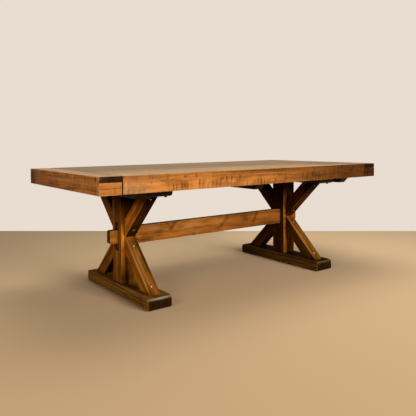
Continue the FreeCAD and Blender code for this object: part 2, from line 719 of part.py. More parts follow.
def end_return(side, low, high):
    """Short mitred board that carries the skirt round the corner of the end."""
    outline = [
        (-HALF_LENGTH, side * HALF_WIDTH),
        (-END_INNER, side * HALF_WIDTH),
        (-END_INNER, side * SKIRT_INNER),
        (-HALF_LENGTH + SKIRT_THICKNESS, side * SKIRT_INNER),
    ]
    return prism_z(outline, low, high)


def slide_rail(side):
    """Rail that carries the end; it fits tight under the end plank and runs free under the deck."""
    low = SKIRT_BOTTOM + RAIL_GAP
    outer = -HALF_LENGTH + SKIRT_THICKNESS
    outline = [
        (outer, low),
        (-RAIL_INNER_END, low),
        (-RAIL_INNER_END, DECK_BOTTOM - RAIL_GAP),
        (-END_INNER, DECK_BOTTOM - RAIL_GAP),
        (-END_INNER, DECK_BOTTOM),
        (outer, DECK_BOTTOM),
    ]
    half = RAIL_WIDTH / 2
    rail = prism_y(outline, side * RAIL_Y - half, side * RAIL_Y + half)
    return cut_all(rail, [batten_screw(place, BITE_CLEARANCE) for place in rail_screw_places(side)])


def rail_stop(side):
    """Block under a rail that meets the top plate when the end is fully out."""
    outer = -TRESTLE_X + PLATE_WIDTH / 2 + END_TRAVEL
    top = SKIRT_BOTTOM + RAIL_GAP
    half = STOP_WIDTH / 2
    block = box(
        outer, outer + STOP_LENGTH, side * RAIL_Y - half, side * RAIL_Y + half, top - STOP_HEIGHT, top
    )
    return ease(block, Y_AXIS, EASE, lambda middle: middle.z < top - 1)


def alignment_pin(y):
    """Hardwood pin glued into the end plank, which finds its bore in the deck."""
    pin = pin_bore(y, PIN_RADIUS, -END_INNER - PIN_LENGTH / 2, -END_INNER + PIN_LENGTH / 2)
    return pin.makeChamfer(PIN_TIP_BEVEL, [outer_rim(pin, FreeCAD.Vector(-HALF_LENGTH, y, DECK_BOTTOM))])


def make_ends():
    """Both pull-out ends; the right one mirrors the left one."""
    save_both_ends("end_plank", end_plank())
    save_both_ends("end_skirt", end_skirt())
    for side, side_name in ((-1, "front"), (1, "back")):
        layers = ((SKIRT_BOTTOM, SKIRT_MIDDLE), (SKIRT_MIDDLE, DECK_BOTTOM))
        save_both_ends(f"{side_name}_return", *[end_return(side, low, high) for low, high in layers])
        save_both_ends(f"{side_name}_slide_rail", slide_rail(side))
    save_both_ends("rail_stops", rail_stop(-1), rail_stop(1))
    save_both_ends("alignment_pins", *[alignment_pin(y) for y in pin_places()])
    screws = [batten_screw(place) for side in (-1, 1) for place in rail_screw_places(side)]
    save_both_ends("rail_screws", *screws)


os.makedirs("parts", exist_ok=True)
make_trestles()
make_top()
make_ends()
print("nodes written:", len(os.listdir("parts")))
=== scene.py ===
"""Looks of a stained maple sawbuck table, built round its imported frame.

Every wooden member is worked out of its own CAD solid: the copy is sliced into a grid, its arrises are
worn, its faces are planed or sawn, and it carries its own board coordinates for the grain. Screws and
glides are repeated by Geometry Nodes. Lengths are in metres, unless a name ends in mm.
"""

import logging
import math
from collections.abc import Callable, Iterator
from dataclasses import asdict, dataclass, fields, replace
from enum import Enum
from functools import cache
from typing import Any

import bmesh
import bpy
import numpy as np
from mathutils import Matrix, Vector, noise


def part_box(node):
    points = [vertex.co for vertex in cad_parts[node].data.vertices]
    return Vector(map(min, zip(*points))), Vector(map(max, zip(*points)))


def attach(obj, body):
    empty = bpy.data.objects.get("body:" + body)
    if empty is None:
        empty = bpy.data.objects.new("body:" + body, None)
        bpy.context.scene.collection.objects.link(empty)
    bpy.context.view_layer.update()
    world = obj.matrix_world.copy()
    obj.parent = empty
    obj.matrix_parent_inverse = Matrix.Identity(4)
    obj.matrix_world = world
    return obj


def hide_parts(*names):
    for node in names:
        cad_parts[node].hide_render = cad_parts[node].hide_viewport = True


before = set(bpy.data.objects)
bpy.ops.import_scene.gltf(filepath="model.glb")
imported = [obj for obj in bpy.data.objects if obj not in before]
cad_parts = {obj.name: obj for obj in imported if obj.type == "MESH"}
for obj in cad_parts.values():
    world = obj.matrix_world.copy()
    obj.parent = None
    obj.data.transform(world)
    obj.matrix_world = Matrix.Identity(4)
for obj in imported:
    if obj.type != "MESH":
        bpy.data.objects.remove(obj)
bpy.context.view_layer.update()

Triple = tuple[float, float, float]
Socket = bpy.types.NodeSocket
Tree = bpy.types.NodeTree

LOG = logging.getLogger("sawbuck_table")
MM = 0.001
WELD = 0.002 * MM  # vertices this near are one
SEAM_REACH = 2.5 * MM  # half width of the groove between two glued layers
SEAM_DEPTH = 0.8 * MM
SEAM_STAIN = 0.8  # how much stain gathers in it
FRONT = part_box("deck_plank_1")[0].y  # plane of the top's front faces
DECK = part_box("deck_plank_1")[1].z  # plane of its upper faces
X_AXIS, Y_AXIS, Z_AXIS = Vector((1, 0, 0)), Vector((0, 1, 0)), Vector((0, 0, 1))

# Types of the nodes that are used most, and the smooth kind of map range.
MATH, VECTOR_MATH, MAP_RANGE = "ShaderNodeMath", "ShaderNodeVectorMath", "ShaderNodeMapRange"
NOISE, MIX, ATTRIBUTE = "ShaderNodeTexNoise", "ShaderNodeMix", "ShaderNodeAttribute"
COMBINE, SEPARATE, BUMP = "ShaderNodeCombineXYZ", "ShaderNodeSeparateXYZ", "ShaderNodeBump"
SMOOTH = {"interpolation_type": "SMOOTHSTEP"}
FACTORS = ("end", "mark", "rubbed", "tone")  # attributes that hold one number


# ---- colour, nodes and objects ----
def linear(hex_colour: str) -> tuple[float, ...]:
    """Turn an sRGB hex colour into the linear RGBA that Blender's sockets take."""
    channels = [int(hex_colour[start : start + 2], 16) / 255 for start in (1, 3, 5)]
    return (*(c / 12.92 if c <= 0.04045 else ((c + 0.055) / 1.055) ** 2.4 for c in channels), 1.0)


def put(tree: Tree, kind: str, inputs: dict | None = None, **settings: Any) -> Any:
    """Add a node with its settings, values and links.

    Args:
        tree: the node tree that gets the node.
        kind: the node's Blender type name.
        inputs: what each input takes, by name or number: a plain value, a socket, or a list of sockets.
        settings: the node's own properties.

    Returns:
        The node's outputs.
    """
    node = tree.nodes.new(kind)
    for name, value in settings.items():
        setattr(node, name, value)
    for key, value in (inputs or {}).items():
        for given in value if isinstance(value, list) else [value]:
            if isinstance(given, Socket):
                tree.links.new(given, node.inputs[key])
            else:
                node.inputs[key].default_value = given
    return node.outputs


def drawn_noise(tree: Tree, at: Socket, along: float, across: float, detail: float) -> Socket:
    """Noise on board coordinates, with its cycles to a metre along and across the grain."""
    scaled = put(tree, VECTOR_MATH, {0: at, 1: (along, across, across)}, operation="MULTIPLY")[0]
    return put(tree, NOISE, {"Vector": scaled, "Scale": 1.0, "Detail": detail, "Roughness": 0.6})["Fac"]


def new_material(name: str, shade: Callable[[Tree], Socket]) -> bpy.types.Material:
    """Make a node material.

    Args:
        name: the material's name.
        shade: puts the shading nodes in a tree and gives the shader.

    Returns:
        The material.
    """
    material = bpy.data.materials.new(name)
    material.use_nodes = True
    material.node_tree.nodes.clear()
    put(material.node_tree, "ShaderNodeOutputMaterial", {"Surface": shade(material.node_tree)})
    return material


def new_object(name: str, data: bpy.types.ID) -> bpy.types.Object:
    """Put a mesh, lamp or camera in the scene as an object.

    Args:
        name: the object's name.
        data: what it shows.

    Returns:
        The object.
    """
    made = bpy.data.objects.new(name, data)
    bpy.context.scene.collection.objects.link(made)
    return made


class Body(Enum):
    """The table's moving bodies."""

    TABLE = "table"
    LEFT_END = "left_end"
    RIGHT_END = "right_end"


class Slot(Enum):
    """The record's material slots."""

    TOP = "stained_top_boards"
    SKIRT = "stained_skirt_boards"
    BASE = "stained_base_timber"
    UNDER = "stained_under_frame"
    PLAIN = "plain_hardwood"
    STEEL = "zinc_plated_steel"
    GLIDE = "nylon_glide"


# ---- finishes ----
@dataclass(frozen=True)
class StainedMaple:
    """Maple under a wiped stain and satin lacquer, drawn from each board's own coordinates.

    The board attribute runs along the grain in x, across the board in y and through it in z, so growth
    rings are shells round a pith line, and they come out as long lines on a face and arcs on an end.
    """

    name: str
    slot: Slot
    early: str  # stain between the growth rings
    late: str  # stain in the hard rings and the pores
    pooled_and_shade: str  # stain where it gathers: end grain, saw marks, knots; also the colour of painted shade
    worn: str  # worn-through arrises, and the colour of painted highlights
    ring_mm: float = 13.0
    ring_strength: float = 0.45
    streak_mm: float = 9.0  # width of the long streaks in the stain
    band_mm: float = 45.0  # width of the broad bands between them
    streak_strength: float = 0.5
    blotch_strength: float = 0.35
    saw_mm: float = 13.0  # pitch of the saw marks that cross the grain
    saw_strength: float = 0.0
    worn_mm: float = 3.0
    worn_strength: float = 0.35
    roughness: float = 0.48
    gloss: float = 0.15  # Specular IOR Level: the satin lacquer is rubbed down

    def shade(self, tree: Tree) -> Socket:
        """Put the finish's nodes in a tree. They read the board, half, lot, end, mark and tone attributes,
        and the one of wear and painted highlights.

        Args:
            tree: the material's node tree.

        Returns:
            The shader.
        """
        board, lot, half, end, mark, rubbed, tone = (
            put(tree, ATTRIBUTE, attribute_name=name)["Fac" if name in FACTORS else "Vector"]
            for name in ("board", "lot", "half", *FACTORS)
        )
        # Each board has its own place in the noise.
        moved = put(tree, VECTOR_MATH, {0: lot, 1: (9.0, 5.0, 5.0), 2: board}, operation="MULTIPLY_ADD")[0]
        fibre = drawn_noise(tree, moved, along=22.0, across=850.0, detail=3.0)
        streak = drawn_noise(tree, moved, along=2.2, across=1 / (self.streak_mm * MM), detail=4.0)
        band = drawn_noise(tree, moved, along=0.9, across=1 / (self.band_mm * MM), detail=3.0)
        blotch = drawn_noise(tree, moved, along=6.0, across=17.0, detail=3.0)
        rings = self._rings(tree, board, lot, moved)
        saw = self._saw_marks(tree, moved)
        early, late, pooled_and_shade, worn = map(linear, (self.early, self.late, self.pooled_and_shade, self.worn))
        # Each coat: what shows it, the values at which it starts and is full, its colour and its strength.
        coats = (
            (rings, None, late, self.ring_strength),
            (band, (0.5, 0.66), late, self.streak_strength),
            (band, (0.47, 0.33), early, self.streak_strength),
            (streak, (0.5, 0.66), late, self.streak_strength),
            (streak, (0.47, 0.33), early, self.streak_strength),
            (fibre, (0.35, 0.75), late, 0.25),
            (blotch, (0.46, 0.66), pooled_and_shade, self.blotch_strength),
            (saw, None, pooled_and_shade, self.saw_strength),
            (end, (0.5, 0.9), pooled_and_shade, 0.8),
            (self._worn_mask(tree, board, half, moved), None, worn, self.worn_strength),
            # Marks lay stains and painted shade in the darkest stain colour, and wear and painted highlights
            # in the worn colour.
            (mark, None, pooled_and_shade, 1.0),
            (rubbed, None, worn, 1.0),
        )
        colour = early
        for mask, limits, coat, strength in coats:
            if limits:
                mask = put(tree, MAP_RANGE, {0: mask, 1: limits[0], 2: limits[1]}, **SMOOTH)[0]
            share = put(tree, MATH, {0: mask, 1: strength}, operation="MULTIPLY", use_clamp=True)[0]
            colour = put(tree, MIX, {0: share, 6: colour, 7: coat}, data_type="RGBA")[2]
        # The tone holds each piece's lightness and the painted light and shade of the faces that look a given
        # way.
        colour = put(tree, VECTOR_MATH, {0: colour, "Scale": tone}, operation="SCALE")[0]

        # The fibre is open, the hard rings stand up and the saw marks are sunk.
        height = put(tree, MATH, {0: fibre, 1: 0.5}, operation="MULTIPLY")[0]
        for relief, rise in ((rings, 0.18), (saw, -1.2 * self.saw_strength)):
            height = put(tree, MATH, {0: relief, 1: rise, 2: height}, operation="MULTIPLY_ADD")[0]
        bump = put(tree, BUMP, {"Strength": 0.6, "Distance": 0.6 * MM, "Height": height})[0]
        rough = put(tree, MAP_RANGE, {0: fibre, 3: self.roughness - 0.08, 4: self.roughness + 0.14})[0]
        look = {"Base Color": colour, "Roughness": rough, "Normal": bump, "Specular IOR Level": self.gloss}
        return put(tree, "ShaderNodeBsdfPrincipled", look)[0]

    def _rings(self, tree: Tree, board: Socket, lot: Socket, moved: Socket) -> Socket:
        """Growth rings as wavy shells round a slanting pith line.

        Args:
            tree: the material's node tree.
            board: board coordinates.
            lot: the board's own random numbers.
            moved: board coordinates shifted to the board's own place in the noise.

        Returns:
            A mask of the hard late wood.
        """
        slow = put(tree, VECTOR_MATH, {0: moved, 1: (2.2, 9.0, 9.0)}, operation="MULTIPLY")[0]
        sway = put(tree, NOISE, {"Vector": slow, "Scale": 1.0, "Detail": 2.5})["Color"]
        pith = board
        for shift, reach in ((sway, (0.0, 0.05, 0.05)), (lot, (0.0, 0.16, 0.08))):
            pith = put(tree, VECTOR_MATH, {0: shift, 1: reach, 2: pith}, operation="MULTIPLY_ADD")[0]
        place = put(tree, SEPARATE, {0: pith})
        slant = put(tree, MATH, {0: place[0], 1: 0.035, 2: place[1]}, operation="MULTIPLY_ADD")[0]
        centred = put(tree, MATH, {0: slant, 1: 0.08}, operation="SUBTRACT")[0]
        shell = put(tree, COMBINE, {1: centred, 2: place[2]})[0]
        radius = put(tree, VECTOR_MATH, {0: shell}, operation="LENGTH")["Value"]
        turns = put(tree, MATH, {0: radius, 1: math.tau / (self.ring_mm * MM)}, operation="MULTIPLY")[0]
        wave = put(tree, MATH, {0: turns}, operation="SINE")[0]
        return put(tree, MAP_RANGE, {0: wave, 1: -0.2, 2: 1.0}, **SMOOTH)[0]

    def _saw_marks(self, tree: Tree, moved: Socket) -> Socket:
        """Kerf marks that cross the grain in patches, where the stain has gathered.

        Args:
            tree: the material's node tree.
            moved: board coordinates shifted to the board's own place in the noise.

        Returns:
            A mask of the marks.
        """
        pitch = (1 / (self.saw_mm * MM), 11.0, 11.0)
        kerf = put(tree, VECTOR_MATH, {0: moved, 1: pitch}, operation="MULTIPLY")[0]
        lines = put(tree, NOISE, {"Vector": kerf, "Scale": 1.0, "Detail": 2.0, "Roughness": 0.55})["Fac"]
        places = drawn_noise(tree, moved, along=7.0, across=26.0, detail=2.0)
        marks, patches = (
            put(tree, MAP_RANGE, {0: value, 1: low, 2: high}, **SMOOTH)[0]
            for value, low, high in ((lines, 0.5, 0.72), (places, 0.42, 0.58))
        )
        return put(tree, MATH, {0: marks, 1: patches}, operation="MULTIPLY")[0]

    def _worn_mask(self, tree: Tree, board: Socket, half: Socket, moved: Socket) -> Socket:
        """Arrises rubbed pale in an uneven line.

        Args:
            tree: the material's node tree.
            board: board coordinates.
            half: the board's half sizes.
            moved: board coordinates shifted to the board's own place in the noise.

        Returns:
            A mask of the rubbed wood.
        """
        size = put(tree, VECTOR_MATH, {0: board}, operation="ABSOLUTE")[0]
        inset = put(tree, VECTOR_MATH, {0: half, 1: size}, operation="SUBTRACT")[0]
        deep = put(tree, SEPARATE, {0: inset})
        # The nearest edge is as far as the middle one of the depths under the three pairs of faces.
        pair = {0: deep[0], 1: deep[1]}
        low, high = (put(tree, MATH, pair, operation=pick)[0] for pick in ("MINIMUM", "MAXIMUM"))
        cap = put(tree, MATH, {0: high, 1: deep[2]}, operation="MINIMUM")[0]
        edge = put(tree, MATH, {0: low, 1: cap}, operation="MAXIMUM")[0]
        rub = drawn_noise(tree, moved, along=45.0, across=45.0, detail=3.0)
        reach = put(tree, MAP_RANGE, {0: rub, 1: 0.3, 2: 0.7, 3: 0.0, 4: 2 * self.worn_mm * MM})[0]
        depth = put(tree, MATH, {0: reach, 1: edge}, operation="SUBTRACT")[0]
        return put(tree, MAP_RANGE, {0: depth, 1: 0.0, 2: 1.2 * MM}, **SMOOTH)[0]


@dataclass(frozen=True)
class HardFinish:
    """Plated steel or moulded plastic on object coordinates: dulled patches and a fine relief."""

    name: str
    slot: Slot
    colour: str
    dulled: str
    roughness: float
    patch_mm: float
    patch_edge: tuple[float, float]  # noise values at which a dulled patch starts and is full
    patch_detail: float
    relief_mm: float
    relief_detail: float
    relief_depth_mm: float
    relief_strength: float
    roughening: float = 0.0  # how much rougher the dulled patches are
    metallic: float = 0.0
    ior: float = 1.5

    def shade(self, tree: Tree) -> Socket:
        """Put the finish's nodes in a tree.

        Args:
            tree: the material's node tree.

        Returns:
            The shader.
        """
        at = put(tree, "ShaderNodeTexCoord")["Object"]
        patches, relief = (
            put(tree, NOISE, {"Vector": at, "Scale": 1 / (size * MM), "Detail": detail})["Fac"]
            for size, detail in ((self.patch_mm, self.patch_detail), (self.relief_mm, self.relief_detail))
        )
        mask = put(tree, MAP_RANGE, {0: patches, 1: self.patch_edge[0], 2: self.patch_edge[1]})[0]
        colours = {6: linear(self.colour), 7: linear(self.dulled)}
        colour = put(tree, MIX, {0: mask, **colours}, data_type="RGBA")[2]
        rough = self.roughness
        if self.roughening:
            limits = {3: rough - self.roughening, 4: rough + 2 * self.roughening}
            rough = put(tree, MAP_RANGE, {0: patches, **limits})[0]
        distance = self.relief_depth_mm * MM
        bump = put(tree, BUMP, {"Strength": self.relief_strength, "Distance": distance, "Height": relief})[0]
        look = {"Base Color": colour, "Roughness": rough, "Normal": bump, "Metallic": self.metallic}
        return put(tree, "ShaderNodeBsdfPrincipled", look | {"IOR": self.ior})[0]


class Finish(Enum):
    """Every finish on the table, under the slot that it belongs to."""

    # Wiped light brown: the top is handled most, so its lacquer is the smoothest.
    TOP = StainedMaple(
        "satin_lacquered_maple_top", Slot.TOP, early="#B4884F", late="#624223", pooled_and_shade="#362310",
        worn="#C0986A", ring_mm=22.0, ring_strength=0.35, streak_mm=14.0, band_mm=75.0, blotch_strength=0.25,
        roughness=0.45, gloss=0.14,
    )
    # Golden brown over band-sawn faces: the kerf marks hold dark stain.
    SKIRT = StainedMaple(
        "sawn_stained_maple_skirt", Slot.SKIRT, early="#D98A40", late="#A05B1E", pooled_and_shade="#361802",
        worn="#E0AE78", ring_mm=18.0, streak_mm=10.0, saw_strength=0.8, gloss=0.02,
    )
    # The same stain wiped thinner on the planed timbers of the trestles.
    BASE = StainedMaple(
        "planed_stained_maple_timber", Slot.BASE, early="#C4761F", late="#4E290A", pooled_and_shade="#120B03",
        worn="#D6A262", ring_mm=14.0, ring_strength=0.5, streak_mm=8.0, band_mm=26.0, streak_strength=0.68,
        blotch_strength=0.4, saw_strength=0.1, worn_strength=0.18, roughness=0.46, gloss=0.004,
    )
    # The stretcher's board has a cloudy figure and little streaking.
    FIGURED = replace(
        BASE, name="figured_stained_maple_rail", early="#B86F29", late="#743E11", ring_mm=30.0, band_mm=70.0,
        streak_strength=0.3,
    )
    # The feet took a greener, thinner coat; their pale worn colour is also that of the painted highlights on
    # their arrises.
    FOOT = replace(
        BASE, name="olive_stained_maple_foot", early="#B0762A", late="#543512", pooled_and_shade="#15100A",
        worn="#EBD6B0", worn_strength=0.1, gloss=0.001,
    )
    # One thick coat, hardly wiped: dark and dull, and darker still as painted shade for its place under the
    # top.
    UNDER = StainedMaple(
        "dark_stained_and_shaded_maple_under_frame", Slot.UNDER, early="#2A1A0C", late="#180E05", pooled_and_shade="#0C0702",
        worn="#4A2F16", roughness=0.55, worn_strength=0.2,
    )
    # Unstained and waxed where pieces slide.
    PLAIN = StainedMaple(
        "waxed_bare_maple", Slot.PLAIN, early="#C9A577", late="#A9834F", pooled_and_shade="#7C5A33", worn="#DDBF95",
        ring_mm=10.0, ring_strength=0.3, streak_strength=0.25, blotch_strength=0.12, roughness=0.5,
        worn_strength=0.2,
    )
    # Bright zinc plate on steel: a cool grey metal with faint wipe marks and dulled patches.
    ZINC = HardFinish(
        "zinc_plated_steel", Slot.STEEL, colour="#E4E3DD", dulled="#ADABA2", roughness=0.42, roughening=0.08,
        patch_mm=2.5, patch_edge=(0.4, 0.7), patch_detail=3.0, relief_mm=2.5, relief_detail=3.0,
        relief_depth_mm=0.05, relief_strength=0.3, metallic=1.0,
    )
    # Zinc plate in a dark, dull grey, with only a dull sheen left of the plating.
    DARK_ZINC = replace(
        ZINC, name="dark_dull_zinc_plate", colour="#4A4238", dulled="#2A231B", roughness=0.6
    )
    # Black moulded nylon: dull, with a fine moulded grain and scuffs.
    NYLON = HardFinish(
        "moulded_black_nylon", Slot.GLIDE, colour="#2B2926", dulled="#4A4640", roughness=0.6, patch_mm=25 / 3,
        patch_edge=(0.5, 0.75), patch_detail=4.0, relief_mm=0.8, relief_detail=2.0, relief_depth_mm=0.1,
        relief_strength=0.4, ior=1.53,
    )

    @cache
    def material(self) -> bpy.types.Material:
        """Make the finish's material at its first use, and hand out the same one afterwards."""
        return new_material(self.value.name, self.value.shade)


def deliver(mesh: bpy.types.Mesh, node: str, body: Body, finish: Finish) -> None:
    """Stand a finished mesh in the scene as the piece that replaces a CAD node.

    Args:
        mesh: the finished mesh, which gives the piece its name.
        node: the CAD node.
        body: the body that the piece rides on.
        finish: not used.
    """
    piece = new_object(mesh.name, mesh)
    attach(piece, body.value)
    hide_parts(node)
    LOG.info("%s: %d faces", mesh.name, len(mesh.polygons))


# ---- boards ----
def welded_copy(node: str) -> bmesh.types.BMesh:
    """Copy a CAD node's loose triangles and weld them.

    Args:
        node: the CAD node.

    Returns:
        The welded copy, which the caller frees.
    """
    bm = bmesh.new()
    bm.from_mesh(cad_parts[node].data)
    bmesh.ops.remove_doubles(bm, verts=bm.verts, dist=WELD)
    return bm


def loose_solids(bm: bmesh.types.BMesh) -> np.ndarray:
    """Number each vertex by the loose solid it belongs to.

    Args:
        bm: a mesh whose vertices are welded.

    Returns:
        One number for each vertex, from zero up.
    """
    bm.verts.index_update()
    solid = np.full(len(bm.verts), -1)
    count = 0
    for seed in bm.verts:
        if solid[seed.index] >= 0:
            continue
        solid[seed.index] = count
        stack = [seed]
        while stack:
            vert = stack.pop()
            for edge in vert.link_edges:
                other = edge.other_vert(vert)
                if solid[other.index] < 0:
                    solid[other.index] = count
                    stack.append(other)
        count += 1
    return solid


@dataclass(frozen=True)
class Mark:
    """A stain, knot, worn place, painted shade or painted highlight on a member: a soft ellipsoid round a
    point.

    Attributes:
        at: its middle.
        reach: how far it goes each way.
        strength: how much it shows, below zero for a pale place instead of a dark one.
        aslant: whether the reach is along, across and through the board instead of in the table's directions.
    """

    at: Triple
    reach: Triple
    strength: float
    aslant: bool = False

    def moved(self, along: float) -> "Mark":
        """Give the same mark further along the table."""
        return replace(self, at=(self.at[0] + along, *self.at[1:]))


def streak(start: Triple, end: Triple, width: float, strength: float) -> tuple[Mark, ...]:
    """Lay a line of dark figure as a row of round stains.

    Args:
        start: one end of the line.
        end: its other end.
        width: reach of each stain.
        strength: how much each one shows.

    Returns:
        The stains, about a width apart.
    """
    first, last = Vector(start), Vector(end)
    count = max(2, round((last - first).length / width))
    return tuple(Mark(tuple(first.lerp(last, i / (count - 1))), (width,) * 3, strength) for i in range(count))


@dataclass(frozen=True)
class Working:
    """How the faces and arrises of a member were worked."""

    step: float = 0.03  # slices along the grain
    row: float = 0.03  # slices across it
    planed: float = 0.35 * MM
    arris: float = 1.3 * MM
    arris_reach: float = 7 * MM
    sawn: float = 0.0
    saw_pitch: float = 0.014
    sharp_degrees: float = 28.0  # arrises sharper than this keep a hard line


@dataclass(frozen=True)
class Member:
    """One wooden member of the table.

    Attributes:
        node: the CAD node that it replaces.
        finish: its finish.
        grain: direction of the grain.
        across: direction across the board's face.
        working: how its faces are worked.
        body: the body that it rides on.
        tone: plain lightness of the piece, which also carries painted light and shade.
        facing: further lightness of the faces that look a given way: painted light and shade, and darker end
            grain.
        marks: stains, knots, worn places, painted shade and painted highlights.
        shared: nodes whose joint box gives the board coordinates, for members cut to look like one.
        edges: finish of the board's edges and ends, where it isn't the same.
        seams: places across the board where two glued layers meet.
    """

    node: str
    finish: Finish
    grain: Vector
    across: Vector
    working: Working = Working()
    body: Body = Body.TABLE
    tone: float = 1.0
    facing: tuple[tuple[Triple, float], ...] = ()
    marks: tuple[Mark, ...] = ()
    shared: tuple[str, ...] = ()
    edges: Finish | None = None
    seams: tuple[float, ...] = ()

    def build(self) -> None:
        """Work the member on the bench, dress it and let it stand for its node."""
        mesh = Workpiece(self).finished_mesh()
        mesh.materials.append(self.finish.material())
        if self.edges:
            mesh.materials.append(self.edges.material())
        deliver(mesh, self.node, self.body, self.finish)


class Workpiece:
    """A member on the bench: a copy of its CAD solids that is sliced, worked and measured for its finish."""

    PLANER_WAVES = Vector((5, 22, 22))  # noise cycles to a metre along, across and through the board
    ARRIS_CHIPS = Vector((35, 40, 40))
    KERF_WANDER = 9  # cycles to a metre in which a saw mark changes along its length
    FLAT_DEGREES = 0.6  # triangles that lie this nearly level with each other are joined
    SLICE_SNAP = 0.01 * MM  # a slice this near a vertex goes through it
    FACING_POWER = 8  # how squarely a face has to look a given way to take that way's tone

    def __init__(self, member: Member) -> None:
        """Copy the member's solids, join their flat triangles and slice them into a grid.

        Args:
            member: what is made.
        """
        self.member = member
        self.turn = Matrix((member.grain, member.across, member.grain.cross(member.across)))
        self.bm = bm = welded_copy(member.node)
        flat = math.radians(self.FLAT_DEGREES)
        bmesh.ops.dissolve_limit(bm, angle_limit=flat, verts=bm.verts, edges=bm.edges)
        self._slice()
        bmesh.ops.triangulate(bm, faces=[face for face in bm.faces if len(face.verts) > 4])
        bm.normal_update()
        self.islands = loose_solids(bm)
        self.centres, self.halves = self._board_frames()

    def finished_mesh(self) -> bpy.types.Mesh:
        """Work the faces and store what the finish reads.

        Returns:
            The member's mesh, without its materials.
        """
        member, bm = self.member, self.bm
        ends, tones = [], []
        for face in bm.faces:
            ends.append(abs(face.normal.dot(member.grain)))
            face.material_index = int(member.edges is not None and abs(face.normal.dot(self.turn[2])) < 0.5)
            # The plain tone of a board of two finishes is meant for its faces, not for its edges.
            tone = 1.0 if face.material_index else member.tone
            # Faces that look a given way are lightened and darkened as painted light and shade.
            for way, share in member.facing:
                squarely = max(0.0, face.normal.dot(Vector(way).normalized())) ** self.FACING_POWER
                tone *= 1 + (share - 1) * squarely
            tones.append(tone)
        self._work()
        mesh = bpy.data.meshes.new(member.node + "_board")
        bm.to_mesh(mesh)
        bm.free()
        self._write_attributes(mesh, ends, tones)
        mesh.shade_smooth()
        mesh.set_sharp_from_angle(angle=math.radians(member.working.sharp_degrees))
        return mesh

    def _spots(self) -> np.ndarray:
        """Give the vertices in board directions."""
        return np.array([self.turn @ vert.co for vert in self.bm.verts])

    def _slice(self) -> None:
        """Cut the faces into a grid: evenly along the grain, and closer to the arrises across it."""
        bm, working = self.bm, self.member.working
        spots = self._spots()
        low, high = spots.min(axis=0), spots.max(axis=0)
        for axis, pitch in ((1, working.row), (2, working.row), (0, working.step)):
            direction = Vector(self.turn[axis])
            places = self._places(low[axis], high[axis], pitch)
            if axis == 1:
                places += [seam + side * SEAM_REACH for seam in self.member.seams for side in (-1, 0, 1)]
            for place in places:
                geometry = bm.verts[:] + bm.edges[:] + bm.faces[:]
                bmesh.ops.bisect_plane(
                    bm, geom=geometry, dist=self.SLICE_SNAP, plane_co=direction * place, plane_no=direction
                )

    def _places(self, low: float, high: float, pitch: float) -> list[float]:
        """Where to slice between two faces.

        Args:
            low: place of the first face.
            high: place of the last one.
            pitch: distance between slices.

        Returns:
            Two slices near each face and even ones between them.
        """
        reach = self.member.working.arris_reach
        if high - low < 3 * reach:
            return [(low + high) / 2]
        inner_low, inner_high = low + reach, high - reach
        count = max(1, round((inner_high - inner_low) / pitch))
        even = [inner_low + (inner_high - inner_low) * index / count for index in range(count + 1)]
        return [low + reach / 2, *even, high - reach / 2]

    def _board_frames(self) -> tuple[np.ndarray, np.ndarray]:
        """Measure each solid, or the joint box that it shares.

        Returns:
            Middles and half sizes in board directions, one row for each solid.
        """
        spots = self._spots()
        boards = [spots[self.islands == number] for number in range(self.islands.max() + 1)]
        if self.member.shared:
            corners = [self.turn @ corner for node in self.member.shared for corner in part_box(node)]
            boards = [np.array(corners)] * len(boards)
        lows, highs = (np.array([pick(board, axis=0) for board in boards]) for pick in (np.min, np.max))
        return (lows + highs) / 2, (highs - lows) / 2

    def _work(self) -> None:
        """Plane or saw the faces and wear the arrises, always into the wood."""
        member, working = self.member, self.member.working
        seed = Vector((len(member.node), ord(member.node[0]), ord(member.node[-1]))) * 1.37
        shifts = []
        for vert in self.bm.verts:
            number = self.islands[vert.index]
            spot = self.turn @ vert.co
            # The middle depth under the three pairs of faces is the distance to the nearest arris.
            inset = sorted(self.halves[number] - np.abs(np.array(spot) - self.centres[number]))
            lot = seed + Vector((number * 5.1, 0, 0))
            depth = working.planed * (0.5 + 0.5 * noise.noise(spot * self.PLANER_WAVES + lot))
            near = max(0.0, 1 - inset[1] / working.arris_reach)
            if near > 0:
                chip = 0.55 + 0.45 * noise.noise(spot * self.ARRIS_CHIPS + lot)
                depth += working.arris * near * near * chip
            if any(abs(spot.y - seam) < SEAM_REACH / 2 for seam in member.seams):
                depth += SEAM_DEPTH
            if working.sawn:
                wander = Vector((spot.x / working.saw_pitch, *spot.yz * self.KERF_WANDER))
                depth += working.sawn * max(0.0, noise.noise(wander + lot))
            shifts.append(vert.normal * -depth)
        for vert, shift in zip(self.bm.verts, shifts):
            vert.co += shift

    def _write_attributes(self, mesh: bpy.types.Mesh, ends: list[float], tones: list[float]) -> None:
        """Store what the finish reads.

        Args:
            mesh: the member's mesh.
            ends: how squarely each face looks along the grain.
            tones: lightness of each face.
        """
        points = np.empty(len(mesh.vertices) * 3)
        mesh.vertices.foreach_get("co", points)
        points = points.reshape(-1, 3)
        local = points @ np.array(self.turn).T
        name = self.member.shared[0] if self.member.shared else self.member.node
        seed = sum(ord(letter) * (index + 3) for index, letter in enumerate(name))
        lots = np.random.default_rng(seed).random((len(self.centres), 3))
        for name, kind, domain, values in (
            ("board", "FLOAT_VECTOR", "POINT", local - self.centres[self.islands]),
            ("half", "FLOAT_VECTOR", "POINT", self.halves[self.islands]),
            ("lot", "FLOAT_VECTOR", "POINT", lots[self.islands]),
            ("mark", "FLOAT", "POINT", self._mark_values(points, 1)),
            ("rubbed", "FLOAT", "POINT", self._mark_values(points, -1)),
            ("end", "FLOAT", "FACE", ends),
            ("tone", "FLOAT", "FACE", tones),
        ):
            layer = mesh.attributes.new(name, kind, domain)
            field = "vector" if kind == "FLOAT_VECTOR" else "value"
            layer.data.foreach_set(field, np.array(values, dtype=np.float32).ravel())

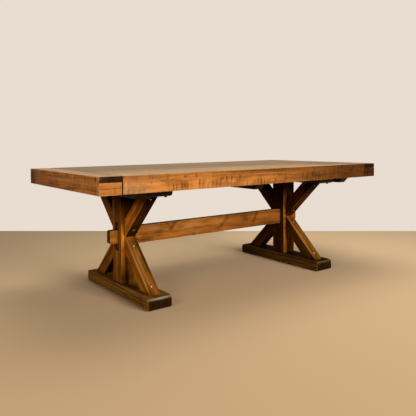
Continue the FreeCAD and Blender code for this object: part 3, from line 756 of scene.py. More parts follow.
    def _mark_values(self, points: np.ndarray, sign: int) -> np.ndarray:
        """Add up the marks at each point.

        Args:
            points: the vertices.
            sign: 1 for the stains and painted shade, -1 for the worn places and painted highlights.

        Returns:
            How much the marks show at each point, from 0 to 1.
        """
        turn = np.array(self.turn)
        left = np.ones(len(points))
        for seam in self.member.seams if sign > 0 else ():
            left *= 1 - SEAM_STAIN * (np.abs(points @ turn[1] - seam) < SEAM_REACH / 2)
        for mark in self.member.marks:
            if mark.strength * sign > 0:
                apart = points - np.array(mark.at)
                if mark.aslant:
                    apart = apart @ turn.T
                left *= 1 - abs(mark.strength) * np.exp(-((apart / np.array(mark.reach)) ** 2).sum(axis=1))
        return 1 - left


# ---- repeated hardware ----
@dataclass(frozen=True)
class Peg:
    """Sizes of one headed fastener, from its head's seat. Each one is an input of the fastener tree."""

    head_radius: float
    head_height: float
    rim_share: float  # top of the head's radius as a share of its foot
    socket_radius: float
    shank_radius: float
    head_sides: int = 20
    flange_radius: float = 0.0
    flange_height: float = 0.0
    shank_length: float = 0.0


class PegKind(Enum):
    """The table's screws and glides."""

    # Structural screw with a domed washer head and a hexagonal socket.
    BRACE_SCREW = Peg(7.5 * MM, 4 * MM, 0.66, 2.6 * MM, 3.5 * MM)
    STRETCHER_SCREW = Peg(4.5 * MM, 4 * MM, 0.66, 1.8 * MM, 2.5 * MM)
    # Hexagonal lag screw on a loose washer.
    LAG_SCREW = Peg(
        7.5 * MM, 6 * MM, 0.88, 3 * MM, 4 * MM, head_sides=6, flange_radius=11 * MM, flange_height=2 * MM
    )
    COUNTERSUNK_SCREW = Peg(4.6 * MM, 1.2 * MM, 1.0, 1.6 * MM, 2.5 * MM)
    # Round pad that is nailed on: the nail's head sits in the middle of it.
    GLIDE = Peg(
        16 * MM, 1.5 * MM, 0.9, 4 * MM, 2 * MM, head_sides=32, flange_radius=19 * MM, flange_height=1.5 * MM
    )


class PegTree:
    """Geometry Nodes tree that stands a fastener on each point, turned to the point's aim."""

    SOCKETS = {float: "NodeSocketFloat", int: "NodeSocketInt"}
    SEED = 7  # of each fastener's turn about its own axis
    SHARP_DEGREES = 35  # edges sharper than this keep a hard line
    SHORTEST = 0.3 * MM  # least length of a shank

    def __init__(self) -> None:
        """Build the tree, with each size of a peg and its finish as named inputs."""
        self.tree = tree = bpy.data.node_groups.new("stand_fasteners", "GeometryNodeTree")
        inputs = {"Geometry": "NodeSocketGeometry"}
        inputs |= {field.name: self.SOCKETS[field.type] for field in fields(Peg)}
        inputs["Finish"] = "NodeSocketMaterial"
        for name, kind in inputs.items():
            tree.interface.new_socket(name=name, in_out="INPUT", socket_type=kind)
        tree.interface.new_socket(name="Geometry", in_out="OUTPUT", socket_type="NodeSocketGeometry")
        given = put(tree, "NodeGroupInput")
        aim = put(tree, "GeometryNodeInputNamedAttribute", {"Name": "aim"}, data_type="FLOAT_VECTOR")[0]
        turn = put(tree, "FunctionNodeAlignRotationToVector", {"Vector": aim}, axis="Z")[0]
        spins = {2: 0.0, 3: math.tau, "Seed": self.SEED}
        spin = put(tree, "FunctionNodeRandomValue", spins, data_type="FLOAT")[1]
        spun = put(tree, "FunctionNodeAxisAngleToRotation", {"Axis": (0, 0, 1), "Angle": spin})[0]
        whole = put(tree, "FunctionNodeRotateRotation", {0: turn, 1: spun}, rotation_space="LOCAL")[0]
        stand = {"Points": given["Geometry"], "Instance": self._fastener(given), "Rotation": whole}
        stood = put(tree, "GeometryNodeInstanceOnPoints", stand)[0]
        real = put(tree, "GeometryNodeRealizeInstances", {0: stood})[0]
        dressed = put(tree, "GeometryNodeSetMaterial", {"Geometry": real, "Material": given["Finish"]})[0]
        put(tree, "NodeGroupOutput", {0: dressed})

    @classmethod
    @cache
    def shared(cls) -> "PegTree":
        """Build the tree at its first use, and hand out the same one afterwards."""
        return cls()

    def _section(self, sides: Any, foot: Socket, top: Socket, height: Socket, lift: Any = 0.0) -> Socket:
        """Turn one straight or tapered section.

        Args:
            sides: number of its sides.
            foot: radius at its foot.
            top: radius at its top.
            height: its height.
            lift: height of its foot above the seat.

        Returns:
            The section's geometry.
        """
        sizes = {"Vertices": sides, "Radius Top": top, "Radius Bottom": foot, "Depth": height}
        cone = put(self.tree, "GeometryNodeMeshCone", sizes)[0]
        place = put(self.tree, COMBINE, {2: lift})[0]
        return put(self.tree, "GeometryNodeTransform", {"Geometry": cone, "Translation": place})[0]

    def _fastener(self, given: Any) -> Socket:
        """One fastener: its head, which has a straight rim, a sloping crown and a hexagonal socket, stands
        up from the origin on its flange, and its shank runs down.

        Args:
            given: the tree's input sockets.

        Returns:
            The fastener's geometry.
        """
        tree = self.tree
        sides, radius, height = given["head_sides"], given["head_radius"], given["head_height"]
        rim_height, crown_height, crown_radius, down = (
            put(tree, MATH, {0: size, 1: share}, operation="MULTIPLY")[0]
            for size, share in (
                (height, 0.45), (height, 0.55), (radius, given["rim_share"]), (given["shank_length"], -1.0)
            )
        )
        rim = self._section(sides, radius, radius, rim_height)
        crown = self._section(sides, radius, crown_radius, crown_height, rim_height)
        socket = self._section(6, given["socket_radius"], given["socket_radius"], height, rim_height)
        solid = put(tree, "GeometryNodeMeshBoolean", {1: [rim, crown]}, operation="UNION")[0]
        head = put(tree, "GeometryNodeMeshBoolean", {"Mesh 1": solid, 1: socket}, operation="DIFFERENCE")[0]
        lift = put(tree, COMBINE, {2: given["flange_height"]})[0]
        head = put(tree, "GeometryNodeTransform", {"Geometry": head, "Translation": lift})[0]
        flange = self._section(24, given["flange_radius"], given["flange_radius"], given["flange_height"])
        shank = self._section(16, given["shank_radius"], given["shank_radius"], given["shank_length"], down)
        return put(tree, "GeometryNodeJoinGeometry", {0: [head, flange, shank]})[0]

    def stand(
        self, name: str, peg: Peg, material: bpy.types.Material, seats: list[Vector], looks: list[Vector]
    ) -> bpy.types.Mesh:
        """Stand a fastener on each seat and keep the result as a plain mesh.

        Args:
            name: the mesh's name.
            peg: the fastener's sizes.
            material: its finish.
            seats: where each head bears.
            looks: the way each head looks.

        Returns:
            The mesh of all the fasteners.
        """
        points = bpy.data.meshes.new(name + "_seats")
        points.from_pydata(seats, [], [])
        aim = points.attributes.new("aim", "FLOAT_VECTOR", "POINT")
        aim.data.foreach_set("vector", [part for way in looks for part in way])
        source = new_object(points.name, points)
        modifier = source.modifiers.new("fasteners", "NODES")
        modifier.node_group = self.tree
        values = asdict(peg) | {"Finish": material}
        for item in self.tree.interface.items_tree:
            if item.in_out == "INPUT" and item.name in values:
                modifier[item.identifier] = values[item.name]
        bpy.context.view_layer.update()
        mesh = bpy.data.meshes.new_from_object(source.evaluated_get(bpy.context.evaluated_depsgraph_get()))
        mesh.name = name
        bpy.data.objects.remove(source)
        mesh.set_sharp_from_angle(angle=math.radians(self.SHARP_DEGREES))
        return mesh


@dataclass(frozen=True)
class Fasteners:
    """One node's fasteners, stood again in detail where their CAD solids are.

    Attributes:
        node: the CAD node that they replace.
        kind: the fastener.
        finish: its finish.
        body: the body that they ride on.
        looks: for a flat pad, the way its face looks.
    """

    node: str
    kind: PegKind
    finish: Finish
    body: Body = Body.TABLE
    looks: Triple | None = None

    def build(self) -> None:
        """Find the seats, stand a fastener on each and let them stand for their node."""
        seats, looks, length = self._seats()
        peg = replace(self.kind.value, shank_length=max(length, PegTree.SHORTEST))
        mesh = PegTree.shared().stand(self.node + "_turned", peg, self.finish.material(), seats, looks)
        deliver(mesh, self.node, self.body, self.finish)

    def _seats(self) -> tuple[list[Vector], list[Vector], float]:
        """Find where each fastener bears and the way its head looks.

        Returns:
            The seats, the ways their heads look and the length of shank below a seat.
        """
        head = self.kind.value.head_height + self.kind.value.flange_height
        bm = welded_copy(self.node)
        solids = loose_solids(bm)
        spots = np.array([vert.co for vert in bm.verts])
        bm.free()
        seats, looks, length = [], [], 0.0
        for number in range(solids.max() + 1):
            own = spots[solids == number]
            middle = own.mean(axis=0)
            # A screw is longest along its axis, and a flat pad is thinnest along it.
            directions = np.linalg.svd(own - middle)[2]
            axis = directions[2] if self.looks else directions[0]
            along = (own - middle) @ axis
            out = np.linalg.norm(own - middle - np.outer(along, axis), axis=1)
            wide = along[out > 0.95 * out.max()].mean() - (along.max() + along.min()) / 2
            if axis @ np.array(self.looks) < 0 if self.looks else wide < 0:
                axis, along = -axis, -along
            seats.append(Vector(middle + axis * (along.max() - head)))
            looks.append(Vector(axis))
            length = along.max() - along.min() - head
        return seats, looks, length


# ---- sub-assemblies ----
Piece = Member | Fasteners
Rows = tuple[tuple[float, ...], ...]


def on_face(axis: int, plane: float, rows: Rows) -> tuple[Mark, ...]:
    """Lay marks on the face at a plane of an axis, from rows of two places, three reaches and a strength."""
    return tuple(Mark((*row[:axis], plane, *row[axis:2]), row[2:5], row[5]) for row in rows)


class Assembly:
    """A sub-assembly of the table."""

    def pieces(self) -> Iterator[Piece]:
        """List the pieces in the order in which they are built."""
        raise NotImplementedError

    def build(self) -> None:
        """Build and dress each piece."""
        LOG.info("%s", type(self).__name__)
        for piece in self.pieces():
            piece.build()


@dataclass(frozen=True)
class Tabletop(Assembly):
    """Fixed middle of the top: planks, the skirts under their long edges, slide guides and battens."""

    plank_tones: tuple[float, ...] = (1.35, 0.92, 0.64, 0.56, 0.62, 0.58)  # from front to back
    plank_working: Working = Working(row=0.02)
    skirt_working: Working = Working(step=0.009, row=0.008, sawn=0.35 * MM, arris=1.0 * MM)
    # Places along and up the front where the kerfs hold stain, and how far up and down each one reaches.
    kerfs: Rows = (
        (-0.937, 0.68, 0.01), (-0.904, 0.678, 0.01), (-0.87, 0.681, 0.012), (-0.847, 0.68, 0.012),
        (-0.668, 0.748, 0.014), (-0.643, 0.747, 0.012), (-0.615, 0.691, 0.024), (-0.596, 0.696, 0.024),
        (-0.58, 0.689, 0.022), (-0.496, 0.701, 0.02), (-0.472, 0.7, 0.02), (-0.407, 0.69, 0.022),
        (-0.378, 0.695, 0.016), (-0.353, 0.693, 0.02), (-0.224, 0.698, 0.022), (-0.095, 0.685, 0.016),
        (-0.067, 0.69, 0.024), (-0.042, 0.688, 0.02), (0.169, 0.696, 0.024), (0.327, 0.708, 0.03),
        (0.365, 0.7, 0.024), (0.423, 0.697, 0.03), (0.452, 0.696, 0.03), (0.487, 0.701, 0.026),
        (0.543, 0.706, 0.026), (0.594, 0.703, 0.03), (0.636, 0.708, 0.03), (0.684, 0.713, 0.026),
    )
    # Painted shade darkening the front towards its right end, long dark streaks, knots, and paler places near
    # its left end.
    front_marks: Rows = (
        (0.85, 0.71, 0.62, 0.005, 1.0, 0.85), (0.3, 0.7, 0.25, 0.005, 0.03, 0.42),
        (0.02, 0.75, 0.42, 0.005, 0.014, 0.9), (0.02, 0.672, 0.2, 0.005, 0.008, 0.3),
        (-0.27, 0.719, 0.17, 0.02, 0.006, 0.6), (-0.89, 0.748, 0.11, 0.005, 0.012, 0.7),
        (-0.75, 0.748, 0.3, 0.005, 0.012, 0.2), (-0.737, 0.732, 0.008, 0.02, 0.006, 0.9),
        (0.821, 0.725, 0.015, 0.02, 0.01, 0.8), (-0.9, 0.695, 0.14, 0.005, 0.04, -0.22),
        (-0.946, 0.715, 0.005, 0.02, 0.05, -0.5),
    )
    # Dark clouds on the deck; the broad one towards its right end is painted shade.
    deck_marks: Rows = (
        (-0.75, -0.02, 0.3, 0.06, 0.02, 0.35), (-0.25, 0.16, 0.35, 0.05, 0.02, 0.35),
        (0.3, 0.0, 0.4, 0.07, 0.02, 0.25), (0.9, -0.32, 0.4, 0.25, 0.02, 0.6),
        (-0.45, 0.38, 0.4, 0.06, 0.02, 0.3),
    )

    def pieces(self) -> Iterator[Piece]:
        """List the boards of the top and the screws under it.

        Yields:
            Each piece.
        """
        kerfs = tuple(Mark((x, FRONT, z), (0.007, 0.02, height), 0.6) for x, z, height in self.kerfs)
        front = kerfs + on_face(1, FRONT, self.front_marks)
        deck = on_face(2, DECK, self.deck_marks)
        layers = {side: (f"{side}_skirt_upper", f"{side}_skirt_lower") for side in ("front", "back")}
        edge_planks = {1: "front", len(self.plank_tones): "back"}
        # A skirt stands flush under its outer plank, so their boxes make one board of the three.
        for number, tone in enumerate(self.plank_tones, start=1):
            node, side = f"deck_plank_{number}", edge_planks.get(number)
            yield Member(
                node, Finish.TOP, X_AXIS, Y_AXIS, self.plank_working, tone=tone, edges=Finish.SKIRT,
                marks=deck + front * (side == "front"), shared=(node, *layers[side]) if side else (),
            )
        for number, side in edge_planks.items():
            for layer in layers[side]:
                yield Member(
                    layer, Finish.SKIRT, X_AXIS, Z_AXIS, self.skirt_working, marks=front * (side == "front"),
                    shared=(*layers[side], f"deck_plank_{number}"),
                )
            for place in ("inner", "outer"):
                yield Member(f"{side}_{place}_guide", Finish.PLAIN, X_AXIS, Y_AXIS, Working(step=0.12))
        for place in ("left", "middle", "right"):
            yield Member(f"{place}_batten", Finish.UNDER, Y_AXIS, X_AXIS)
        yield Fasteners("batten_screws", PegKind.COUNTERSUNK_SCREW, Finish.ZINC)


@dataclass(frozen=True)
class Trestle(Assembly):
    """One trestle: foot, post, top plate and four braces. Its lightness factors for a piece or a face are
    painted light and shade.
    """

    side: str
    front_marks: Rows  # painted shade on the post's front face, from its own middle line: under the top, round the braces and near its foot
    near_marks: Rows  # marks of its -X face, painted shade and painted highlights among them
    inward_shading: float  # painted light and shade of the faces that look to -X
    foot_tones: tuple[float, float]  # painted light and shade of the foot's -X face and of its top
    upper_tone: float  # painted light on the front upper brace
    back_shading: float  # painted light and shade of the back braces
    under_shading: float  # painted shade of the upper braces' undersides
    outer_shading: float  # painted shade of the lower braces' outer faces
    end_highlight: float  # how strongly painted highlights lie along the foot's end arrises
    far_shade: float  # how much painted shade darkens the foot's far half
    inner_shading: float = 0.2  # painted shade of the braces' faces towards the post
    lower_tone: float = 1.3  # painted light on the front lower brace
    waist_half: float = 0.064  # half width of the trestle at the waist, where the braces meet
    highlight_drop: float = 0.146  # how far below the waist the painted highlight line of a lower brace has its middle
    timber: Working = Working(step=0.014, row=0.011, sharp_degrees=100.0)
    post_timber: Working = Working(step=0.014, row=0.0075, sharp_degrees=100.0)

    def pieces(self) -> Iterator[Piece]:
        """List the timbers of the trestle and the screws through its braces.

        Yields:
            Each piece.
        """
        # Painted light and shade on the foot's -X face and its top; its ends are darker.
        near, top = ((-1, 0, 0), self.foot_tones[0]), ((0, 0, 1), self.foot_tones[1])
        yield Member(
            f"{self.side}_foot", Finish.FOOT, Y_AXIS, X_AXIS, self.timber, tone=0.8, marks=self._foot_marks(),
            facing=(near, top, ((0, -1, 0), 0.47), ((0, 1, 0), 0.4)),
        )
        low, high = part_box(f"{self.side}_post")
        middle = (low.x + high.x) / 2
        front = (mark.moved(middle) for mark in on_face(1, low.y, self.front_marks))
        # Painted shadow of the top, darkest up under it.
        top_shadow = Mark((middle, 0.0, 0.66), (0.3, 0.3, 0.145), 0.99)
        # Painted light on the post's front face, and painted light and shade on its -X face.
        yield Member(
            f"{self.side}_post", Finish.BASE, Z_AXIS, X_AXIS, self.post_timber,
            facing=(((-1, 0, 0), self.inward_shading), ((0, -1, 0), 1.3)),
            marks=(top_shadow, *front, *on_face(0, low.x, self.near_marks)),
        )
        yield Member(f"{self.side}_top_plate", Finish.UNDER, Y_AXIS, X_AXIS, self.timber)
        for level, rise, front_shading in (("lower", -1, self.lower_tone), ("upper", 1, self.upper_tone)):
            yield self._brace(level, rise, "front", -1, front_shading)
            yield self._brace(level, rise, "back", 1, self.back_shading)
        yield Fasteners(f"{self.side}_brace_screws", PegKind.BRACE_SCREW, Finish.ZINC)

    def _brace(self, level: str, rise: int, place: str, way: int, tone: float) -> Member:
        """Describe one brace.

        Args:
            level: lower or upper.
            rise: 1 where the brace rises outward, -1 where it falls.
            place: front or back.
            way: -1 for the front, 1 for the back.
            tone: its plain lightness, painted light and shade.

        Returns:
            The brace.
        """
        node = f"{self.side}_{level}_{place}_brace"
        low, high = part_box(node)
        middle, reach = (low.x + high.x) / 2, max(-low.y, high.y)
        run = (reach - self.waist_half) / (high.z - low.z)
        if level == "upper":
            # Painted shade up under the top, in the crotch and along the near arris towards the post.
            marks = (
                Mark((middle, way * (reach - 0.03), 0.65), (0.3, 0.115, 0.115), 0.98),
                Mark((middle, way * 0.12, 0.385), (0.3, 0.06, 0.06), 0.6),
                Mark((low.x, way * (reach - 0.177), high.z - 0.057), (0.09, 0.03, 0.012), 0.9, aslant=True),
            )
        else:
            # A painted highlight runs along the outer face's near arris, and painted shade lies along its far
            # one, in the crotch and on the foot.
            across, up = way * (self.waist_half + self.highlight_drop * run), high.z - self.highlight_drop
            marks = (
                Mark((low.x, across, up), (0.13, 0.005, 0.005), -0.5, aslant=True),
                Mark((low.x + 0.022, across, up), (0.11, 0.008, 0.01), -0.25, aslant=True),
                Mark((high.x, across, up), (0.14, 0.016, 0.02), 0.55, aslant=True),
                Mark((middle, way * 0.1, high.z - 0.04), (0.1, 0.05, 0.05), 0.3),
                Mark((low.x, way * (reach - 0.01), low.z), (0.03, 0.03, 0.02), 0.7),
            )
        # Painted shade darkens the undersides and the faces towards the post.
        outer = ((0, way, -rise * run), self.under_shading if level == "upper" else self.outer_shading)
        inner = ((0, -way, rise * run), self.inner_shading)
        return Member(
            node, Finish.BASE, Vector((0, way * run, rise)).normalized(), X_AXIS, self.timber, tone=tone,
            facing=(((-1, 0, 0), self.inward_shading), outer, inner), marks=marks,
        )

    def _foot_marks(self) -> tuple[Mark, ...]:
        """Lay painted highlights along the foot's top arrises, bands of painted shade behind those at its
        ends, and painted shade on its far half.

        Returns:
            The marks of the foot.
        """
        low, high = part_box(f"{self.side}_foot")
        middle, top = (low.x + high.x) / 2, high.z
        marks = [
            Mark((low.x, 0.0, top), (0.004, 0.3, 0.004), -0.15 * self.end_highlight),
            Mark((low.x, 0.36, 0.03), (0.03, 0.2, 0.06), self.far_shade),
        ]
        for end in (low.y, high.y):
            marks.append(Mark((middle, end, top - 0.006), (0.066, 0.008, 0.006), -self.end_highlight))
            marks.append(Mark((middle, end * 0.965, top), (0.08, 0.007, 0.012), 0.8))
        return tuple(marks)


@dataclass(frozen=True)
class StretcherRail(Assembly):
    """The long rail, its wedges and screws, and the hardware that both trestles share."""

    timber: Working = Working(step=0.012, row=0.01, sharp_degrees=100.0)
    # Knots, clouds, paler places near the middle, and darker towards both ends of the front.
    marks: Rows = (
        (-0.185, 0.362, 0.014, 0.02, 0.01, 0.4), (-0.189, 0.309, 0.012, 0.02, 0.008, 0.8),
        (-0.465, 0.35, 0.035, 0.02, 0.018, 0.45), (-0.524, 0.38, 0.04, 0.02, 0.012, 0.35),
        (-0.09, 0.385, 0.05, 0.02, 0.012, 0.3), (0.268, 0.373, 0.04, 0.02, 0.016, 0.45),
        (-0.56, 0.32, 0.08, 0.02, 0.014, 0.4), (0.55, 0.355, 0.45, 0.02, 0.2, 0.28),
        (-0.775, 0.355, 0.04, 0.02, 0.2, 0.2), (0.2, 0.355, 0.09, 0.02, 0.2, 0.22),
        (-0.5, 0.388, 0.06, 0.02, 0.02, -0.25), (-0.2, 0.375, 0.08, 0.02, 0.02, -0.3),
        (0.0, 0.375, 0.07, 0.02, 0.02, -0.15),
    )
    # Forked and slanting streaks: the start and end of each along and up the rail, its width and strength.
    streaks: Rows = (
        (-0.4, 0.409, -0.367, 0.366, 0.01, 0.45), (-0.328, 0.409, -0.367, 0.366, 0.012, 0.5),
        (0.046, 0.34, 0.11, 0.4, 0.014, 0.4), (0.386, 0.404, 0.346, 0.34, 0.009, 0.5),
    )

    def pieces(self) -> Iterator[Piece]:
        """List the rail, its wedges and screws, the lag screws under the top and the glides under the feet.

        Yields:
            Each piece.
        """
        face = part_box("stretcher")[0].y
        figure = on_face(1, face, self.marks)
        for x, z, to_x, to_z, width, strength in self.streaks:
            figure += streak((x, face, z), (to_x, face, to_z), width, strength)
        # Painted shade on the rail's top, which lies under the table top, and painted light on its -X end.
        yield Member(
            "stretcher", Finish.FIGURED, X_AXIS, Z_AXIS, self.timber, tone=1.06, marks=figure,
            facing=(((0, 0, 1), 0.25), ((-1, 0, 0), 2.1)),
        )
        yield Member("tenon_wedges", Finish.BASE, X_AXIS, Z_AXIS, self.timber, tone=0.65)
        yield Fasteners("stretcher_screws", PegKind.STRETCHER_SCREW, Finish.DARK_ZINC)
        yield Fasteners("plate_lag_screws", PegKind.LAG_SCREW, Finish.DARK_ZINC)
        yield Fasteners("foot_glides", PegKind.GLIDE, Finish.NYLON, looks=(0, 0, -1))


@dataclass(frozen=True)
class PullOutEnd(Assembly):
    """One breadboard end with its skirt, slide rails and stops."""

    side: str
    body: Body
    # The plank and return tones are painted light and shade: the right end is darker, where less light falls.
    plank_tone: float
    return_tone: float
    grain_tone: float  # lightness of the sawn-off ends of the outer boards
    chipped: float  # how pale the chips of its front corner are
    corner_shade: float  # how dark that corner is: painted shade
    layer_seam: float = 0.7  # height where the two layers of a return meet
    plank_working: Working = Working(step=0.02, row=0.02)
    skirt_working: Working = Working(step=0.009, row=0.008, sawn=0.3 * MM, arris=1.0 * MM)
    pin_working: Working = Working(step=0.01, row=0.004, planed=0.1 * MM, arris=0.0)
    # A knot and streaks near the front of the outer face, and painted shade darkening it towards its back
    # corner.
    marks: Rows = (
        (-0.387, 0.704, 0.02, 0.009, 0.007, 0.85), (-0.2, 0.706, 0.02, 0.16, 0.005, 0.5),
        (0.02, 0.735, 0.02, 0.13, 0.005, 0.4), (0.49, 0.71, 0.03, 0.055, 0.1, 0.8),
        (0.2, 0.675, 0.02, 0.5, 0.018, 0.4), (0.4, 0.71, 0.02, 0.35, 0.1, 0.35),
    )
    kerfs: tuple[float, ...] = (-0.405, -0.425, -0.447, -0.47, -0.492)
    chips: tuple[float, ...] = (0.755, 0.722, 0.698, 0.674)

    def pieces(self) -> Iterator[Piece]:
        """List the boards of the end and the screws of its slide rails.

        Yields:
            Each piece.
        """
        outer = max((corner.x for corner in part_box(f"{self.side}_end_plank")), key=abs)
        kerfs = tuple((y, 0.7, 0.02, 0.006, 0.026, 0.5) for y in self.kerfs)
        chips = tuple((FRONT, z, 0.006, 0.006, 0.008, -self.chipped) for z in self.chips)
        marks = on_face(0, outer, kerfs + chips + self.marks)
        # The sawn-off ends of the outer boards are darker end grain, and the outer face takes painted light.
        facing = (((0, -1, 0), self.grain_tone), ((0, 1, 0), self.grain_tone), ((outer, 0, 0), 1.3))
        yield Member(
            f"{self.side}_end_plank", Finish.TOP, Y_AXIS, X_AXIS, self.plank_working, self.body,
            self.plank_tone, facing, marks, edges=Finish.SKIRT,
        )
        yield Member(
            f"{self.side}_end_skirt", Finish.SKIRT, Y_AXIS, Z_AXIS, self.skirt_working, self.body,
            facing=facing, marks=marks,
        )
        yield Member(f"{self.side}_rail_stops", Finish.PLAIN, X_AXIS, Y_AXIS, body=self.body)
        yield Member(f"{self.side}_alignment_pins", Finish.PLAIN, X_AXIS, Y_AXIS, self.pin_working, self.body)
        # Painted shade at the outer front corner of the returns.
        corner = on_face(0, outer, ((FRONT, 0.71, 0.012, 0.02, 0.2, self.corner_shade),))
        for place in ("front", "back"):
            yield Member(
                f"{self.side}_{place}_return", Finish.SKIRT, X_AXIS, Z_AXIS, self.skirt_working, self.body,
                self.return_tone, seams=(self.layer_seam,), marks=corner,
            )
            yield Member(
                f"{self.side}_{place}_slide_rail", Finish.PLAIN, X_AXIS, Z_AXIS, Working(step=0.12), self.body
            )
        yield Fasteners(f"{self.side}_rail_screws", PegKind.COUNTERSUNK_SCREW, Finish.ZINC, self.body)


# ---- studio ----
@dataclass(frozen=True)
class Softbox:
    """One rectangular lamp aimed at a point."""

    name: str
    at: Triple
    aim: Triple
    size: tuple[float, float]
    watts: float

    def light(self) -> None:
        """Put the lamp in the scene."""
        lamp = bpy.data.lights.new(self.name, "AREA")
        lamp.shape = "RECTANGLE"
        lamp.size, lamp.size_y = self.size
        lamp.energy = self.watts
        stand = new_object(self.name, lamp)
        stand.location = self.at
        stand.rotation_euler = (Vector(self.aim) - Vector(self.at)).to_track_quat("-Z", "Y").to_euler()


@dataclass(frozen=True)
class Studio:
    """Pale floor, pale surround, soft lamps and the camera."""

    camera_at: Triple = (-2.0755, -2.7435, 0.9217)
    heading: float = 0.637  # from +Y towards +X
    pitch: float = 0.0371  # below level
    roll: float = 0.0072
    focal_mm: float = 42.757
    sensor_mm: float = 36.0
    shift_y: float = -0.1126  # the optical axis stands above the middle of the frame
    floor_heading: float = 0.6775  # the floor's far edge is square to this, and level in the frame
    floor_ahead: float = 5.134  # the floor ends this far in front of the camera
    floor_behind: float = 9.0
    floor_half_width: float = 9.0
    floor_near: str = "#C7A47B"
    floor_far: str = "#EFCB9E"
    floor_fade: tuple[float, float] = (-2.5, 2.0)  # where the near colour ends and the far one starts
    wall_colour: str = "#E8DDD0"
    floor_bounce: str = "#8E6A45"  # what the floor sends back to the table
    ambient: float = 0.04
    lamps: tuple[Softbox, ...] = (
        Softbox("overhead_softbox", (0.5, 0.5, 3.2), (0.1, 0.1, 0.7), (2.8, 2.0), 62.0),
        Softbox("front_softbox", (0.9, -6.4, 2.75), (0.0, 0.0, 0.45), (3.2, 2.2), 430.0),
        Softbox("left_softbox", (-3.9, -1.9, 1.9), (-0.9, 0.0, 0.5), (1.6, 1.4), 46.0),
    )

    def build(self) -> None:
        """Make the floor, the surround, the lamps and the camera."""
        self._floor()
        self._surround()
        for lamp in self.lamps:
            lamp.light()
        self._camera()
        bpy.context.scene.view_settings.view_transform = "Standard"

    def _floor(self) -> None:
        """Lay the floor, turned so that its far edge is a level line."""
        ahead = Vector((math.sin(self.floor_heading), math.cos(self.floor_heading), 0))
        right = Vector((ahead.y, -ahead.x, 0)) * self.floor_half_width
        foot = Vector((*self.camera_at[:2], 0))
        near, far = foot - ahead * self.floor_behind, foot + ahead * self.floor_ahead
        mesh = bpy.data.meshes.new("studio_floor")
        mesh.from_pydata([near - right, near + right, far + right, far - right], [], [(0, 1, 2, 3)])
        mesh.materials.append(new_material("pale_matt_floor", self._floor_paint))
        new_object(mesh.name, mesh)

    def _floor_paint(self, tree: Tree) -> Socket:
        """Matt floor paint that looks pale, darker near the camera and paler further off as painted light,
        but sends little light up under the table.

        Args:
            tree: the material's node tree.

        Returns:
            The shader.
        """
        place = put(tree, "ShaderNodeTexCoord")["Object"]
        way = (math.sin(self.floor_heading), math.cos(self.floor_heading), 0.0)
        ahead = put(tree, VECTOR_MATH, {0: place, 1: way}, operation="DOT_PRODUCT")["Value"]
        fade = put(tree, MAP_RANGE, {0: ahead, 1: self.floor_fade[0], 2: self.floor_fade[1]}, **SMOOTH)[0]
        near, far, bounce = map(linear, (self.floor_near, self.floor_far, self.floor_bounce))
        colour = put(tree, MIX, {0: fade, 6: near, 7: far}, data_type="RGBA")[2]
        colour = put(tree, MIX, {0: self._seen(tree), 6: bounce, 7: colour}, data_type="RGBA")[2]
        return put(tree, "ShaderNodeBsdfDiffuse", {"Color": colour})[0]

    @staticmethod
    def _seen(tree: Tree) -> Socket:
        """Tell the rays that show the studio, straight or in a reflection, from soft light.

        Args:
            tree: the node tree of the floor or the surround.

        Returns:
            One for the rays that show it, and nothing for the others.
        """
        path = put(tree, "ShaderNodeLightPath")
        seen = path["Is Camera Ray"]
        for ray in ("Is Glossy Ray", "Is Transmission Ray"):
            seen = put(tree, MATH, {0: seen, 1: path[ray]}, operation="MAXIMUM")[0]
        return seen

    def _surround(self) -> None:
        """Light evenly from all round, and show the wall colour to the camera and to reflections."""
        world = bpy.context.scene.world = bpy.data.worlds.new("pale_studio")
        world.use_nodes = True
        tree = world.node_tree
        tree.nodes.clear()
        glow = put(tree, "ShaderNodeBackground", {0: linear("#FFFFFF"), 1: self.ambient})[0]
        wall = put(tree, "ShaderNodeBackground", {0: linear(self.wall_colour), 1: 1.0})[0]
        mixed = put(tree, "ShaderNodeMixShader", {0: self._seen(tree), 1: glow, 2: wall})[0]
        put(tree, "ShaderNodeOutputWorld", {0: mixed})

    def _camera(self) -> None:
        """Stand the camera."""
        data = bpy.data.cameras.new("camera")
        data.lens = self.focal_mm
        data.sensor_width = self.sensor_mm
        data.shift_y = self.shift_y
        turn = Matrix.Rotation(-self.heading, 4, "Z") @ Matrix.Rotation(math.pi / 2 - self.pitch, 4, "X")
        camera = bpy.context.scene.camera = new_object("camera", data)
        camera.matrix_world = Matrix.Translation(self.camera_at) @ turn @ Matrix.Rotation(-self.roll, 4, "Z")


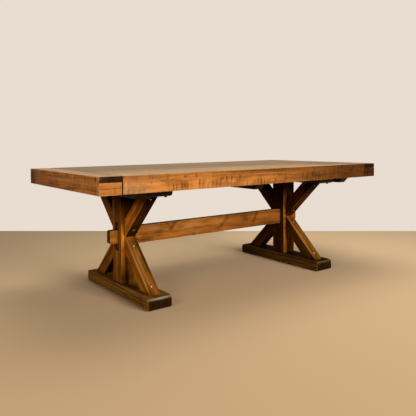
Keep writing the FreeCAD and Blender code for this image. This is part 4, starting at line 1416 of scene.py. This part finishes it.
ASSEMBLIES = (
    Tabletop(),
    # Its post's near face has a pale middle band between dark lines, under a dark panel of painted shadow
    # from the top with a pale edge, and a painted highlight along its front arris.
    Trestle(
        "left", inward_shading=1.1, foot_tones=(1.28, 0.8), upper_tone=2.8, back_shading=0.9, under_shading=0.06,
        outer_shading=0.54, end_highlight=0.9, far_shade=0.1,
        front_marks=(
            (0.0, 0.105, 0.3, 0.008, 0.05, 0.77), (0.0, 0.6, 0.3, 0.008, 0.06, 0.87),
            (0.0, 0.46, 0.3, 0.008, 0.03, 0.34), (0.025, 0.57, 0.045, 0.012, 0.09, 0.97),
            (0.047, 0.2, 0.016, 0.012, 0.16, 0.15),
        ),
        near_marks=(
            (-0.027, 0.22, 0.01, 0.008, 0.25, 0.5), (0.032, 0.2, 0.01, 0.006, 0.2, 0.35),
            (0.0, 0.54, 0.01, 0.022, 0.07, 0.45), (0.007, 0.2, 0.01, 0.013, 0.2, -0.2),
            (0.045, 0.5, 0.01, 0.012, 0.08, -0.35), (-0.058, 0.24, 0.004, 0.004, 0.3, -0.15),
        ),
    ),
    # Its post's near face is dark with painted shade, with one darker band.
    Trestle(
        "right", inward_shading=0.25, foot_tones=(0.75, 0.16), upper_tone=1.6, back_shading=1.45, under_shading=0.17,
        outer_shading=0.44, end_highlight=0.12, far_shade=0.6,
        front_marks=(
            (0.0, 0.105, 0.3, 0.008, 0.04, 0.43), (0.0, 0.6, 0.3, 0.008, 0.06, 0.58),
            (0.0, 0.45, 0.3, 0.008, 0.04, 0.58), (0.0, 0.29, 0.3, 0.008, 0.04, 0.39),
            (0.047, 0.56, 0.018, 0.012, 0.08, 0.97), (0.035, 0.15, 0.04, 0.012, 0.22, 0.9),
        ),
        near_marks=((0.006, 0.19, 0.01, 0.02, 0.15, 0.6),),
    ),
    StretcherRail(),
    PullOutEnd(
        "left", Body.LEFT_END, plank_tone=1.2, return_tone=0.8, grain_tone=0.25, chipped=0.7,
        corner_shade=0.0,
    ),
    PullOutEnd(
        "right", Body.RIGHT_END, plank_tone=0.6, return_tone=0.1, grain_tone=0.15, chipped=0.0,
        corner_shade=0.7,
    ),
)


def main() -> None:
    logging.basicConfig(level=logging.INFO, format="%(name)s %(message)s")
    for assembly in ASSEMBLIES:
        assembly.build()
    for node in ("frame_bolts", "tie_nuts", "tie_washers"):
        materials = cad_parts[node].data.materials
        materials.clear()
        materials.append(Finish.ZINC.material())
    Studio().build()


if __name__ == "__main__":
    main()
